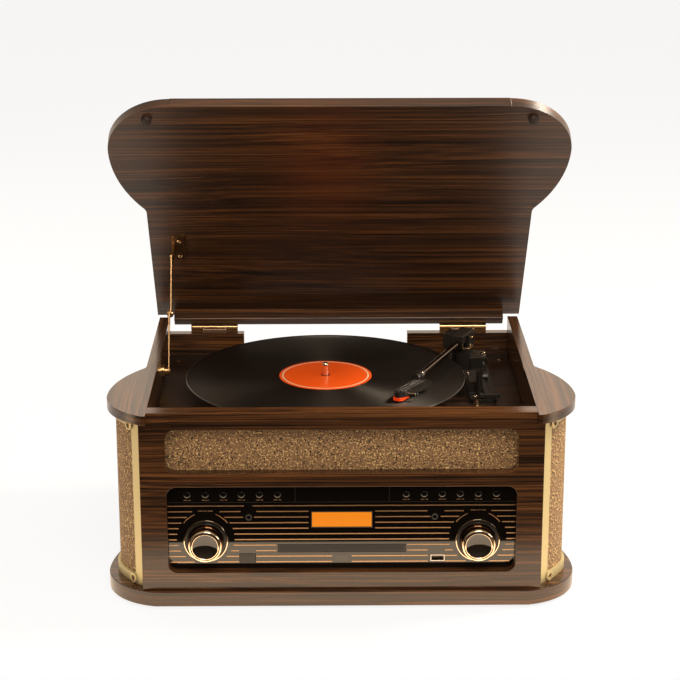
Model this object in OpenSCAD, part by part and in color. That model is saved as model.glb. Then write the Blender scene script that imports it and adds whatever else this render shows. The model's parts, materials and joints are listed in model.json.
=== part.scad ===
// A table-top record player in a curved wooden case, with radio controls, a disc tray and a hinged lid.
// Millimetres. X runs to the right, Y to the back and Z up. The record is played with the lid open.

/* [Cabinet] */
// Clear width between the two side walls
inner_w = 391; // [385:1:400]
// Thickness of each side wall
wall_t = 11.5; // [9:0.5:14]
// Depth from the front panel's face to the back panel's face
cabinet_d = 339; // [336:1:350]
// Height of the walls from the plinth to the rim
body_h = 190.8; // [188:0.2:200]
// Width of the front panel
front_w = 407; // [400:1:410]
// Thickness of the front panel
front_t = 18; // [17:0.5:20]
// Thickness of the back panel
back_t = 12; // [10:0.5:14]
// Thickness of the plinth
plinth_t = 16.2; // [12:0.2:22]
// Thickness of each lobed top board
board_t = 10; // [8:0.5:13]
// Diameter of each rubber foot
foot_d = 24; // [16:1:34]
// Height of each rubber foot
foot_h = 3; // [2:0.5:8]

/* [Lobed outline] */
// Distance of the widest point of every lobe behind the front face
lobe_y = 58; // [55:1:61]
// Half width of the top boards at their widest point
board_reach = 239.5; // [238:0.5:242]
// Radius of the long rear curve of a top board
board_rear_r = 144.5; // [142:0.5:148]
// Radius of the short front curve of a top board
board_corner_r = 76.2; // [74:0.2:78]
// How far the tips of the top boards stand in front of the front panel
board_tip = 9; // [6:0.5:10]
// How far the plinth stands out past the top boards
plinth_over = 3.5; // [3:0.5:10]
// Radius of the plinth's front corners
plinth_corner_r = 65.5; // [60:0.5:70]
// How far the plinth stands in front of the front panel
plinth_tip = 6.2; // [4:0.2:10]
// How far the plinth stands out behind the back panel
plinth_back = 4; // [0:0.5:8]
// How far the lid stands out past the top boards
lid_over = 4.6; // [3:0.2:8]
// Radius of the lid's front corners
lid_corner_r = 68.4; // [64:0.2:72]
// How far the closed lid stands in front of the front panel
lid_tip = 11; // [9:0.5:14]
// Radius of the hollow curve at each neck
neck_r = 12; // [6:1:18]

/* [Turntable] */
// Depth of the deck's top face below the rim
deck_drop = 42.1; // [41:0.1:46]
// Thickness of the deck board
deck_t = 10; // [8:0.5:12]
// Distance of the spindle to the right of the middle
spindle_x = -15.8; // [-20:0.2:-12]
// Distance of the spindle behind the front face
spindle_y = 174.2; // [172:0.2:176]
// Diameter of the record
record_d = 302; // [300:1:304]
// Thickness of the record
record_t = 2; // [1.5:0.1:3]
// Diameter of the record's label
label_d = 100; // [92:1:102]
// Thickness of the record's label
label_t = 0.3; // [0.2:0.1:0.6]
// Diameter of the spindle
spindle_d = 7.1; // [7:0.02:7.2]
// Height of the spindle above the label
spindle_h = 14.7; // [8:0.1:16]
// Diameter of the platter
platter_d = 196; // [188:1:210]
// Thickness of the platter's disc
platter_t = 10.8; // [8:0.2:12]
// Thickness of the soft ring that carries the record
mat_t = 2; // [1:0.2:3]
// Height of the drive ring under the platter's disc
ring_h = 5; // [4:0.5:6]
// Outer radius of the drive ring
ring_r = 66; // [64:0.5:68]
// Radius of the motor pulley
pulley_r = 6; // [4:0.5:7]
// Distance of the motor from the spindle
motor_reach = 80; // [78:0.5:82]
// Thickness of the drive belt
belt_t = 1; // [0.8:0.1:1.4]
// Height of the drive belt
belt_h = 3; // [2:0.5:3.5]

/* [Tonearm] */
// Distance of the arm's pivot to the right of the middle
arm_x = 138; // [136:0.5:141]
// Distance of the arm's pivot behind the front face
arm_y = 264; // [262:0.5:266]
// Angle of the arm over the record, from the front direction towards the spindle
arm_angle = 22.9; // [21:0.1:24]
// Height of the arm tube's axis above the deck
arm_h = 36.5; // [36:0.2:38]
// Diameter of the arm tube
tube_d = 6.4; // [5:0.2:7]
// Length of the arm tube from the pivot
tube_len = 144; // [140:0.5:146]
// Turn of the headshell towards the spindle
shell_angle = 9.5; // [8:0.5:12]
// Offset of the headshell's rear to the right of the tube
shell_side = 6; // [4:0.5:7]
// Length of the headshell
shell_len = 55; // [52:0.5:58]
// Width of the headshell at its front
shell_w = 12; // [11:0.5:14]
// Height of the headshell
shell_h = 6.4; // [5:0.2:7.5]
// Width of the block that holds the tube between the cheeks
carrier_w = 14; // [13:0.5:15]
// Height of the top of the tonearm block above the deck
arm_top = 45; // [44.5:0.1:45.5]
// Radius of the arm's cross pin
cross_r = 1.6; // [1.2:0.1:2]

/* [Lid] */
// Thickness of the lid board
lid_t = 11.7; // [10:0.1:14]
// Half width of the lid behind its necks
lid_side = 210.5; // [208:0.5:213]
// Height of the rail under the lid's rear edge
rail_h = 14.5; // [12:0.5:16]
// Thickness of the rail
rail_t = 11.5; // [9:0.5:13]
// Length of the rail
rail_w = 381; // [376:1:385]
// Angle between the closed lid and the lid at rest
open_angle = 53.89; // [50:0.1:56]
// Diameter of each lid bumper
bumper_d = 10.5; // [8:0.5:13]
// Depth of the back panel's top below the rim
stub_drop = 16.6; // [16:0.1:18]
// Width of the cut-out in the back panel
cutout_w = 188.7; // [170:1:200]
// Radius of the hinge knuckles
knuckle_r = 2.75; // [2.4:0.05:2.9]
// Thickness of the hinge leaves
leaf_t = 1.2; // [0.8:0.1:1.4]
// Radius of the hinge pins
hinge_pin_r = 1.3; // [1:0.1:1.4]
// Length of each hinge
hinge_w = 54; // [46:1:58]
// Distance of each hinge's middle from the middle of the cabinet
hinge_x = 144.1; // [140:0.5:150]

/* [Lid stay] */
// Width of the stay's links
link_w = 9; // [7:0.5:11]
// Thickness of the stay's links
link_t = 1.4; // [1:0.1:1.8]
// Radius of the stay's pins
stay_pin_r = 2; // [1.5:0.1:2.4]
// Distance of the stay's lid pivot in front of the hinge line
stay_reach = 118; // [116:0.5:120]
// Depth of the stay's lid pivot below the lid
stay_drop = 8; // [7:0.5:9]
// Depth of the stay's wall pivot below the rim
stay_low = 27.5; // [26:0.5:29]

/* [Speaker columns] */
// Radius of the front curve of a speaker column
column_r = 99; // [97:0.5:101]
// Setback of the column's front curve behind the edge of the top board
column_front_inset = 0.5; // [0.5:0.5:3]
// Distance of that curve's centre behind the front face
column_y = 85; // [83:0.5:87]
// Setback of the column's rear curve behind the edge of the top board
column_inset = 5; // [4:0.5:8]
// Radius that blends the two curves
column_blend_r = 40; // [30:1:50]
// Thickness of the metal frame round a speaker
frame_t = 2.6; // [2.4:0.2:4.5]
// Width of the frame's upright strips
frame_strip = 7.4; // [5:0.2:10]
// Height of the frame's top and bottom borders
frame_border = 10; // [7:0.5:14]
// Thickness of the cloth-covered grille behind the frame
grille_t = 2; // [1.5:0.5:3]
// Diameter of the speaker drivers
driver_d = 74; // [66:1:80]
// Diameter of the round bosses at the frame's corners
boss_d = 10.5; // [8:0.5:11]

/* [Front windows] */
// Width of the grille window
grille_w = 355; // [340:1:362]
// Height of the grille window
grille_h = 47; // [42:0.5:50]
// Height of the grille window's lower edge above the plinth
grille_z = 125.5; // [123:0.5:128]
// Depth of the cloth in the grille window
grille_in = 13.5; // [12:0.5:14]
// Width of the control window
control_w = 354; // [350:1:362]
// Height of the control window
control_h = 93.2; // [92:0.2:95]
// Height of the control window's lower edge above the plinth
control_z = 18.5; // [17:0.5:20]
// Depth of the control panel in its window
control_in = 9; // [8:0.5:10]
// Radius of the windows' corners
window_r = 10; // [6:0.5:14]
// Rebate behind the windows' edges
rebate = 4; // [3:0.5:4]

/* [Controls] */
// Height of the control plate's lower edge above the window's
face_lift = 6.8; // [5:0.2:8]
// Diameter of the round buttons
button_d = 7; // [6:0.2:8]
// Spacing of the round buttons
button_pitch = 18.3; // [17:0.1:18.5]
// Distance of the innermost round buttons from the middle
button_x = 65.3; // [64:0.5:68]
// Height of the round buttons above the plinth
button_z = 100.1; // [99:0.1:101]
// Travel of the round buttons
button_travel = 1.2; // [0.8:0.1:1.6]
// Distance of the knobs from the middle
knob_x = 138.7; // [137:0.1:140]
// Height of the knobs above the plinth
knob_z = 50; // [49:0.1:51]
// Radius of a knob's rim
knob_r = 22.8; // [20:0.1:24]
// Length of a knob in front of the control plate
knob_len = 17.5; // [15:0.5:20]
// Radius of a knob's front ring
knob_ring_r = 17.2; // [15:0.1:18]
// Radius of a knob's shaft
knob_shaft_r = 3; // [2.5:0.1:3.5]
// Half width of the display
display_x = 30.3; // [28:0.1:33]
// Height of the display's lower edge above the plinth
display_z = 64.8; // [64:0.2:66]
// Height of the display
display_h = 16; // [14:0.5:17]
// Width of the disc tray's front
tray_w = 130; // [128:0.5:134]
// Height of the disc tray's front
tray_h = 8.2; // [7:0.2:9]
// Height of the disc tray's lower edge above the plinth
tray_z = 37.3; // [37:0.1:38]
// Travel of the disc tray
tray_travel = 125; // [100:1:128]
// Diameter of a compact disc's place in the tray
disc_d = 121; // [120.5:0.5:122]
// Width of the power button
power_w = 16; // [12:0.5:18]
// Height of the power button
power_h = 10; // [8:0.5:11]
// Distance of the power button's middle from the middle of the cabinet
power_x = 96.4; // [95:0.2:98]
// Height of the power button's lower edge above the plinth
power_z = 25.6; // [25.4:0.1:26]
// Travel of the power button
power_travel = 2; // [1:0.2:2.4]
// Width of the memory-stick socket's shell
usb_w = 14.5; // [13.5:0.1:15]
// Height of the memory-stick socket's shell
usb_h = 7; // [6.6:0.1:7.2]
// Distance of the memory-stick socket from the middle
usb_x = 98; // [97:0.5:99]
// Height of the memory-stick socket's middle above the plinth
usb_z = 30.2; // [30:0.1:31]
// Bore of the jack sockets
jack_d = 3.6; // [3.54:0.02:3.7]
// Distance of the jack sockets from the middle
jack_x = 94.6; // [94:0.2:96]
// Height of the jack sockets above the plinth
jack_z = 75.8; // [75:0.2:76.4]

/* [Fits] */
// Gap between wooden boards, plates and the pieces set into them
set_gap = 0.2; // [0.1:0.05:0.3]
// Gap round buttons, trays and other pieces that slide
slide_gap = 0.3; // [0.25:0.05:0.4]
// Gap between a turning shaft and its bore
shaft_gap = 0.05; // [0.03:0.01:0.08]

/* [Hidden] */
$fn = 72;
big = 400;
dark_wood = "#3b2416";
pale_gold = "#dcc07c";
brass = "#b8934a";
black = "#141414";
cloth = "#8c6b46";
steel = "#b9bbbd";

// Heights and half widths of the cabinet.
base_z = foot_h + plinth_t;
rim_z = base_z + body_h;
board_z = rim_z - board_t;
deck_z = rim_z - deck_drop;
stub_z = rim_z - stub_drop;
half_in = inner_w / 2;
half_out = half_in + wall_t;
back_y = cabinet_d - back_t;
cutout_x = -15.25;
foot_x = 190;
foot_in = 35;

// The lid's hinge line, and heights above it in the closed lid.
hinge_lift = 4.2;
hinge_y = cabinet_d + leaf_t / 2;
hinge_z = stub_z + hinge_lift;
rail_lift = knuckle_r + slide_gap;
lid_low = rail_lift + rail_h;
lid_gap = hinge_z + lid_low - rim_z;
bumper_h = lid_gap - slide_gap;
bumper_x = 200;
bumper_y = 7.6;
leaf_h = 13;
knuckle_w = 0.47 * hinge_w;

// The footprint of the open record player is centred on the origin.
knob_face_y = control_in - knob_len;
front_most = min(-board_tip, -plinth_tip, knob_face_y);
lid_rise = lid_low + lid_t;
back_most = hinge_y - leaf_t / 2 * cos(open_angle) + lid_rise * sin(open_angle);
origin_y = (front_most + back_most) / 2;

// The stay: its two pivots stand one above the other when the lid is closed.
stay_in = lid_low - stay_drop;
stay_wall_y = hinge_y - stay_reach;
stay_wall_z = rim_z - stay_low;
stay_lid_y = hinge_y - stay_reach * cos(open_angle) + stay_in * sin(open_angle);
stay_lid_z = hinge_z + stay_reach * sin(open_angle) + stay_in * cos(open_angle);
stay_span = norm([stay_lid_y - stay_wall_y, stay_lid_z - stay_wall_z]);
stay_tilt = atan2(stay_lid_z - stay_wall_z, stay_lid_y - stay_wall_y);
link_len = stay_span / 2;
link_gap = 0.4;
stay_flange_t = 1.5;
stay_x = 186;
upper_link_x = stay_x + slide_gap;
lower_link_x = upper_link_x + link_t + link_gap;
stay_plate_w = 15;
stay_plate_t = 1.5;

// Heights above the deck in the turntable.
groove_t = 0.3;
record_lift = 24.8;
mat_z = deck_z + record_lift - record_t;
platter_z = mat_z - mat_t - platter_t;
record_z = mat_z;
label_z = record_z + record_t;
ring_z = platter_z - ring_h;
spindle_r = spindle_d / 2;
spindle_top = label_z + label_t + spindle_h;
bush_r = 9;
motor_a = 135;
motor_x = spindle_x + motor_reach * cos(motor_a);
motor_y = spindle_y + motor_reach * sin(motor_a);
motor_r = 16;
motor_h = 26;
motor_shaft_r = 1;
motor_ear = [44, 8, 2];
shaft_deep = 14;
pulley_room = 2;
pulley_gap = 0.6;

// The spindle's flange and bush, its thick shaft in the hub, and the neck that sets off its tip.
flange_t = 2;
flange_over = 5;
bush_low = 4;
hub_shaft_r = 4;
hub_shaft_low = 0.5;
neck_in = 0.3;
tip_lift = 0.15;

// The tonearm's block, in the arm's own frame: the arm points along -Y.
block_x = -1.5;
carrier_z = 31.5;
cross_y = 8;
cross_z = 38;
turret_z = 27;
turret_r = 12.5;
turret_shaft_r = 4;
turret_t = 3;
arm_sleeve_r = turret_shaft_r + 4;
left_cheek_w = 9;
right_cheek_w = 3.2;
needle_gap = 0.3;
shell_low = arm_h - shell_h - 1.6;
rest_angle = 7.1;
rest_reach = 98.8;

// Depths behind the front face, at the controls.
face_t = 3;
plate_y = control_in + face_t;
plate_t = 3;
plate_back = plate_y + set_gap + plate_t;
board_front = 24;
board_pcb_t = 1.6;
tact_h = 1.6;
button_xs = [for (s = [-1, 1], i = [0 : 5]) s * (button_x + i * button_pitch)];
usb_wall = 0.8;

// Moves the drawing from the front face's own zero to the footprint's middle.
module centred() {
    translate([0, -origin_y, 0]) children();
}

// Draws its children on the right (1) or the left (-1).
module on_side(side) {
    if (side < 0) mirror([1, 0, 0]) children();
    else children();
}

// An upright plate from an outline in X and Z, t thick from depth y to the back.
module upright(y, t) {
    translate([0, y + t, 0]) rotate([90, 0, 0]) linear_extrude(t) children();
}

// A round bar along Y.
module bar_y(r, y0, y1) {
    translate([0, y1, 0]) rotate([90, 0, 0]) cylinder(r = r, h = y1 - y0);
}

// A round bar along X.
module bar_x(r, x0, x1) {
    translate([x0, 0, 0]) rotate([0, 90, 0]) cylinder(r = r, h = x1 - x0);
}

// A round bar along Z between two heights.
module cylinder_to(r, z0, z1) {
    translate([0, 0, z0]) cylinder(r = r, h = z1 - z0);
}

// A rectangle with round corners, from its left lower corner.
module rounded(x, z, w, h, r) {
    for (cx = [x + r, x + w - r], cz = [z + r, z + h - r]) translate([cx, cz]) circle(r);
    translate([x + r, z]) square([w - 2 * r, h]);
    translate([x, z + r]) square([w, h - 2 * r]);
}

// The hollow curve that joins a straight side to the back of its lobe.
module neck(side_x, rear_c, rear_r) {
    reach = rear_r + neck_r;
    cx = side_x + neck_r;
    cy = lobe_y + sqrt(pow(reach, 2) - pow(cx - rear_c, 2));
    touch = [rear_c + (cx - rear_c) * rear_r / reach, lobe_y + (cy - lobe_y) * rear_r / reach];
    difference() {
        polygon([[side_x - neck_r, touch.y - neck_r], touch, [cx, cy], [side_x, cy], [side_x - neck_r, cy]]);
        translate([cx, cy]) circle(neck_r);
    }
}

// The right half of a lobed board, from x0 outwards.
module lobe(x0, side_x, reach, rear_r, corner_r, front_y, rear_y) {
    rear_c = reach - rear_r;
    corner_c = reach - corner_r;
    intersection() {
        translate([rear_c, lobe_y]) circle(rear_r);
        translate([x0, lobe_y]) square([big, rear_r]);
    }
    intersection() {
        translate([corner_c, lobe_y]) circle(corner_r);
        translate([max(x0, corner_c), front_y]) square([big, lobe_y - front_y]);
    }
    if (corner_c > x0) translate([x0, front_y]) square([corner_c - x0 + 0.01, lobe_y - front_y]);
    translate([x0, lobe_y - 0.01]) square([side_x - x0, rear_y - lobe_y + 0.01]);
    neck(side_x, rear_c, rear_r);
}

// A whole lobed board, drawn from its right half.
module lobed(side_x, reach, rear_r, corner_r, front_y, rear_y) {
    lobe(-1, side_x, reach, rear_r, corner_r, front_y, rear_y);
    mirror([1, 0]) lobe(-1, side_x, reach, rear_r, corner_r, front_y, rear_y);
}

rear_c = board_reach - board_rear_r;
column_x = board_reach - column_front_inset - column_r;
column_rear_r = board_rear_r - column_inset;
blend_a = column_r - column_blend_r;
blend_b = column_rear_r - column_blend_r;
centres = [column_x - rear_c, column_y - lobe_y];
blend_u = (pow(blend_b, 2) - pow(blend_a, 2) + pow(norm(centres), 2)) / (2 * norm(centres));
blend_v = sqrt(pow(blend_b, 2) - pow(blend_u, 2));
blend_c = [rear_c, lobe_y] + blend_u * centres / norm(centres)
    + blend_v * [centres.y, -centres.x] / norm(centres);
front_dir = (blend_c - [column_x, column_y]) / blend_a;
rear_dir = (blend_c - [rear_c, lobe_y]) / blend_b;

// The outline of a right speaker column, drawn in by inset all round.
module column(inset) {
    wedge = [blend_c, blend_c + 2 * column_blend_r * front_dir, blend_c + 2 * column_blend_r * rear_dir];
    difference() {
        intersection() {
            translate([column_x, column_y]) circle(column_r - inset);
            translate([rear_c, lobe_y]) circle(column_rear_r - inset);
        }
        polygon(wedge);
    }
    intersection() {
        translate(blend_c) circle(column_blend_r - inset);
        polygon(wedge);
    }
}

// The part of a column outside the side wall.
module column_side(inset) {
    intersection() {
        column(inset);
        translate([half_out + set_gap, 0]) square([big, big]);
    }
}

// The bosses at a frame's corners stand just clear of the side wall.
boss_wall_gap = 1.5;
boss_edge = 0.5;
boss_x = half_out + boss_d / 2 + boss_wall_gap;
boss_front_a = -acos((boss_x - column_x) / column_r);
boss_rear_a = acos((boss_x - rear_c) / column_rear_r);
boss_zs = [base_z + boss_d / 2 + boss_edge, board_z - frame_border + boss_wall_gap];

// Draws its children on each boss of a right column, with Z pointing outwards from the frame's face.
module at_bosses() {
    for (z = boss_zs) {
        translate([boss_x, column_y + column_r * sin(boss_front_a), z])
            rotate([0, 0, boss_front_a]) rotate([0, 90, 0]) children();
        translate([boss_x, lobe_y + column_rear_r * sin(boss_rear_a), z])
            rotate([0, 0, boss_rear_a]) rotate([0, 90, 0]) children();
    }
}

// The screws' shanks, heads and slots, and the deck's screw places.
screw_r = 1.5;
screw_head_r = 2.6;
screw_head_h = 1.2;
screw_slot = [3.2, 0.6, 0.7];
screw_len = 11;
screw_head_gap = 0.4;
deck_screw_side = 11.5;
deck_screw_front = 18;
deck_screw_back = 23;
deck_screw_extra = 6;
deck_screws = [for (s = [-1, 1], y = [front_t + deck_screw_front, back_y - deck_screw_back])
    [s * (half_in - deck_screw_side), y]];

// A countersunk screw with a cross slot, its head's face at z = 0 and its shank below.
module screw(len) {
    difference() {
        union() {
            translate([0, 0, -screw_head_h]) cylinder(r1 = screw_r, r2 = screw_head_r, h = screw_head_h);
            translate([0, 0, -len]) cylinder(r = screw_r, h = len - screw_head_h + 0.1);
        }
        for (a = [0, 90]) rotate([0, 0, a])
            translate([-screw_slot.x / 2, -screw_slot.y / 2, -screw_slot.z]) cube([screw_slot.x, screw_slot.y, 1]);
    }
}

module plinth() {
    color(dark_wood) centred() translate([0, 0, foot_h]) linear_extrude(plinth_t)
        lobed(half_out + plinth_over, board_reach + plinth_over, board_rear_r + plinth_over,
            plinth_corner_r, -plinth_tip, cabinet_d + plinth_back);
}

module feet() {
    color(black) centred()
        for (x = [-foot_x, foot_x], y = [foot_in, cabinet_d - foot_in])
            translate([x, y, 0]) cylinder(d = foot_d, h = foot_h);
}

module front_panel() {
    color(dark_wood) centred() difference() {
        union() {
            translate([-front_w / 2, 0, base_z]) cube([front_w, front_t, board_z - base_z]);
            translate([-half_in, 0, base_z]) cube([inner_w, front_t, rim_z - base_z]);
        }
        upright(-1, front_t + 2) rounded(-grille_w / 2, base_z + grille_z, grille_w, grille_h, window_r);
        upright(grille_in, front_t)
            translate([-grille_w / 2 - rebate, base_z + grille_z - rebate])
                square([grille_w + 2 * rebate, grille_h + 2 * rebate]);
        upright(-1, front_t + 2) rounded(-control_w / 2, base_z + control_z, control_w, control_h, window_r);
        upright(plate_y, front_t)
            translate([-control_w / 2 - rebate, base_z + control_z - rebate])
                square([control_w + 2 * rebate, control_h + 2 * rebate]);
    }
}

// A side wall with the speaker's hole, and the cleats that carry the column's frame.
module wall(side) {
    color(dark_wood) centred() on_side(side) difference() {
        union() {
            translate([half_in, front_t, base_z])
                cube([wall_t, cabinet_d - front_t, board_z - base_z]);
            for (z = [base_z, board_z - cleat_h]) translate([0, 0, z]) linear_extrude(cleat_h)
                intersection() {
                    column(frame_t + grille_t + 2 * set_gap);
                    translate([half_out - 1, front_t + 1]) square([cleat_t + 1, big]);
                }
        }
        translate([0, column_y, driver_z]) bar_x(driver_d / 2 - driver_seat, half_in - 1, half_out + cleat_t + 1);
        at_bosses() translate([0, 0, -screw_len]) cylinder(r = screw_r + shaft_gap, h = screw_len);
    }
}

cleat_h = 14;
cleat_t = 9;
driver_z = (base_z + board_z) / 2;
driver_seat = 5;

module left_wall() {
    wall(-1);
}

module right_wall() {
    wall(1);
}

module top_board(side) {
    color(dark_wood) centred() on_side(side) translate([0, 0, board_z]) linear_extrude(board_t)
        lobe(half_in, half_out, board_reach, board_rear_r, board_corner_r, -board_tip, cabinet_d);
}

module left_top_board() {
    top_board(-1);
}

module right_top_board() {
    top_board(1);
}

// The back panel, with the cut-out behind the turntable and holes for the rear sockets.
module back_panel() {
    color(dark_wood) centred() difference() {
        translate([-half_in, back_y, base_z]) cube([inner_w, back_t, stub_z - base_z]);
        translate([cutout_x - cutout_w / 2, back_y - 1, deck_z]) cube([cutout_w, back_t + 2, big]);
        translate([inlet_x - inlet_w / 2 - set_gap, back_y - 1, inlet_z - inlet_h / 2 - set_gap])
            cube([inlet_w + 2 * set_gap, back_t + 2, inlet_h + 2 * set_gap]);
        for (x = phono_xs) translate([x, 0, inlet_z]) bar_y(phono_collar_r + set_gap, back_y - 1, cabinet_d + 1);
        for (i = [-4 : 4]) translate([vent_x + i * vent_pitch - vent_w / 2, back_y - 1, vent_z])
            cube([vent_w, back_t + 2, vent_h]);
    }
}

vent_x = 70;
vent_pitch = 11;
vent_w = 4;
vent_z = 70;
vent_h = 40;

// The deck, drilled for the spindle, the motor's pulley, the tonearm and its screws.
module deck_board() {
    color(dark_wood) centred() difference() {
        translate([-half_in + set_gap, front_t + set_gap, deck_z - deck_t])
            cube([inner_w - 2 * set_gap, back_y - front_t - 2 * set_gap, deck_t]);
        translate([spindle_x, spindle_y, deck_z - deck_t - 1]) cylinder(r = bush_r + set_gap, h = deck_t + 2);
        translate([motor_x, motor_y, deck_z - deck_t - 1]) cylinder(r = pulley_r + pulley_room, h = deck_t + 2);
        translate([arm_x, arm_y, deck_z - deck_t - 1]) cylinder(r = arm_sleeve_r + set_gap, h = deck_t + 2);
        translate([switch_x, switch_y, 0]) cylinder_to(switch_stem_r + shaft_gap, deck_z - switch_deep, deck_z + 1);
        for (p = deck_screws) translate([p.x, p.y, deck_z]) {
            translate([0, 0, -deck_t - 1]) cylinder(r = screw_r + shaft_gap, h = deck_t + 2);
            translate([0, 0, -screw_head_h - shaft_gap])
                cylinder(r1 = screw_r + shaft_gap, r2 = screw_head_r + set_gap, h = screw_head_h + shaft_gap + 0.1);
        }
    }
}

grille_board_t = 3;

// The cloth-covered strip in the upper window.
module grille_cloth() {
    edge = rebate - set_gap;
    color(cloth) centred() upright(grille_in + set_gap, grille_board_t)
        translate([-grille_w / 2 - edge, base_z + grille_z - edge])
            square([grille_w + 2 * edge, grille_h + 2 * edge]);
}

// The gloss plate in the control window, with its holes, jack sockets and posts.
module control_plate() {
    edge = rebate - set_gap;
    low = base_z + control_z;
    color(black) centred() difference() {
        union() {
            upright(plate_y + set_gap, plate_t)
                translate([-control_w / 2 - edge, low - edge])
                    square([control_w + 2 * edge, control_h + 2 * edge]);
            upright(control_in, face_t + set_gap + 0.1)
                rounded(-control_w / 2 + slide_gap, low + face_lift, control_w - 2 * slide_gap,
                    control_h - face_lift - slide_gap, window_r - slide_gap);
            for (s = [-1, 1]) translate([s * jack_x, 0, base_z + jack_z]) {
                bar_y(jack_d / 2 + jack_ring_t, control_in - jack_out, control_in + 1);
                bar_y(jack_d / 2 + jack_body_t, plate_back - 0.1, board_front);
            }
            for (p = post_places) translate([p.x, 0, p.y]) bar_y(post_r, plate_back - 0.1, board_front);
        }
        for (x = button_xs) translate([x, 0, base_z + button_z])
            bar_y(button_d / 2 + slide_gap, control_in - 1, plate_back + 1);
        upright(control_in - 1, face_t + 1 + set_gap)
            translate([-display_x - set_gap, base_z + display_z - set_gap])
                square([2 * (display_x + set_gap), display_h + 2 * set_gap]);
        for (s = [-1, 1]) {
            translate([s * knob_x, 0, base_z + knob_z])
                bar_y(knob_shaft_r + slide_gap, control_in - 1, plate_back + 1);
            translate([s * jack_x, 0, base_z + jack_z]) bar_y(jack_d / 2, control_in - 2, board_front - 1);
        }
        upright(control_in - 1, plate_back)
            translate([-tray_w / 2 - slide_gap, base_z + tray_z - slide_gap])
                square([tray_w + 2 * slide_gap, tray_h + 2 * slide_gap]);
        upright(control_in - 1, plate_back)
            translate([-power_x - power_w / 2 - slide_gap, base_z + power_z - slide_gap])
                square([power_w + 2 * slide_gap, power_h + 2 * slide_gap]);
        upright(control_in - 1, plate_back)
            translate([usb_x - usb_w / 2 - set_gap, base_z + usb_z - usb_h / 2 - set_gap])
                square([usb_w + 2 * set_gap, usb_h + 2 * set_gap]);
    }
}

wing_x = 84;
strip_lift = 59;
strip_z = base_z + strip_lift;
board_in = 5;
board_w = control_w - 2 * board_in;
post_r = 3;
post_in = 5;
post_places = [for (s = [-1, 1], z = [strip_z + 1, base_z + control_z + control_h - 3.7])
    [s * (board_w / 2 - post_in), z]];
jack_ring_t = 1.4;
jack_body_t = 2.4;
jack_out = 0.6;
window_in = 0.4;
tact_w = 6;
knob_bush_r = 8.5;

module display_window() {
    color("#ff9500") centred() upright(control_in + window_in, plate_y + set_gap - control_in - window_in)
        translate([-display_x, base_z + display_z]) square([2 * display_x, display_h]);
}

// The circuit board behind the controls, with its switches and the two knobs' bushes.
module control_board() {
    color("#1f5a34") centred() {
        difference() {
            union() {
                translate([-board_w / 2, board_front, strip_z])
                    cube([board_w, board_pcb_t, base_z + control_z + control_h - strip_z]);
                for (s = [-1, 1]) translate([s > 0 ? wing_x : -board_w / 2, board_front, base_z + control_z])
                    cube([board_w / 2 - wing_x, board_pcb_t, strip_z - base_z - control_z + 1]);
                for (x = button_xs)
                    translate([x - tact_w / 2, board_front - tact_h, base_z + button_z - tact_w / 2])
                        cube([tact_w, tact_h + 0.1, tact_w]);
                translate([-power_x - tact_w / 2, board_front - tact_h, base_z + power_z + (power_h - tact_w) / 2])
                    cube([tact_w, tact_h + 0.1, tact_w]);
                for (s = [-1, 1]) translate([s * knob_x, 0, base_z + knob_z])
                    bar_y(knob_bush_r, plate_back + set_gap, board_front + 0.1);
            }
            for (s = [-1, 1]) translate([s * knob_x, 0, base_z + knob_z])
                bar_y(knob_shaft_r + shaft_gap, control_in, board_front - 1);
        }
    }
}

inlet_x = -130;
inlet_lift = 30;
inlet_z = base_z + inlet_lift;
inlet_w = 26;
inlet_h = 18;
phono_xs = [-96, -80];
phono_r = 4.15;
phono_collar_r = 4.7;
phono_len = 9;
phono_bore_r = 1.6;
phono_deep = 22;
phono_side = 8;
supply_x = -172;
supply_w = 110;
supply_d = 86;
supply_y = back_y - 5 - supply_d;
supply_z = base_z + 6;
supply_t = 1.6;
supply_post_r = 3;
supply_post_in = 6;
transformer = [56, 46, 44];
transformer_in = 4;
inlet_body = 39;
inlet_foot = 14;
inlet_rim = 3;
inlet_rim_t = 2;
inlet_mouth = [18, 14, 8.6];
inlet_pin_r = 1.2;
inlet_pin_x = 5.5;

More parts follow.
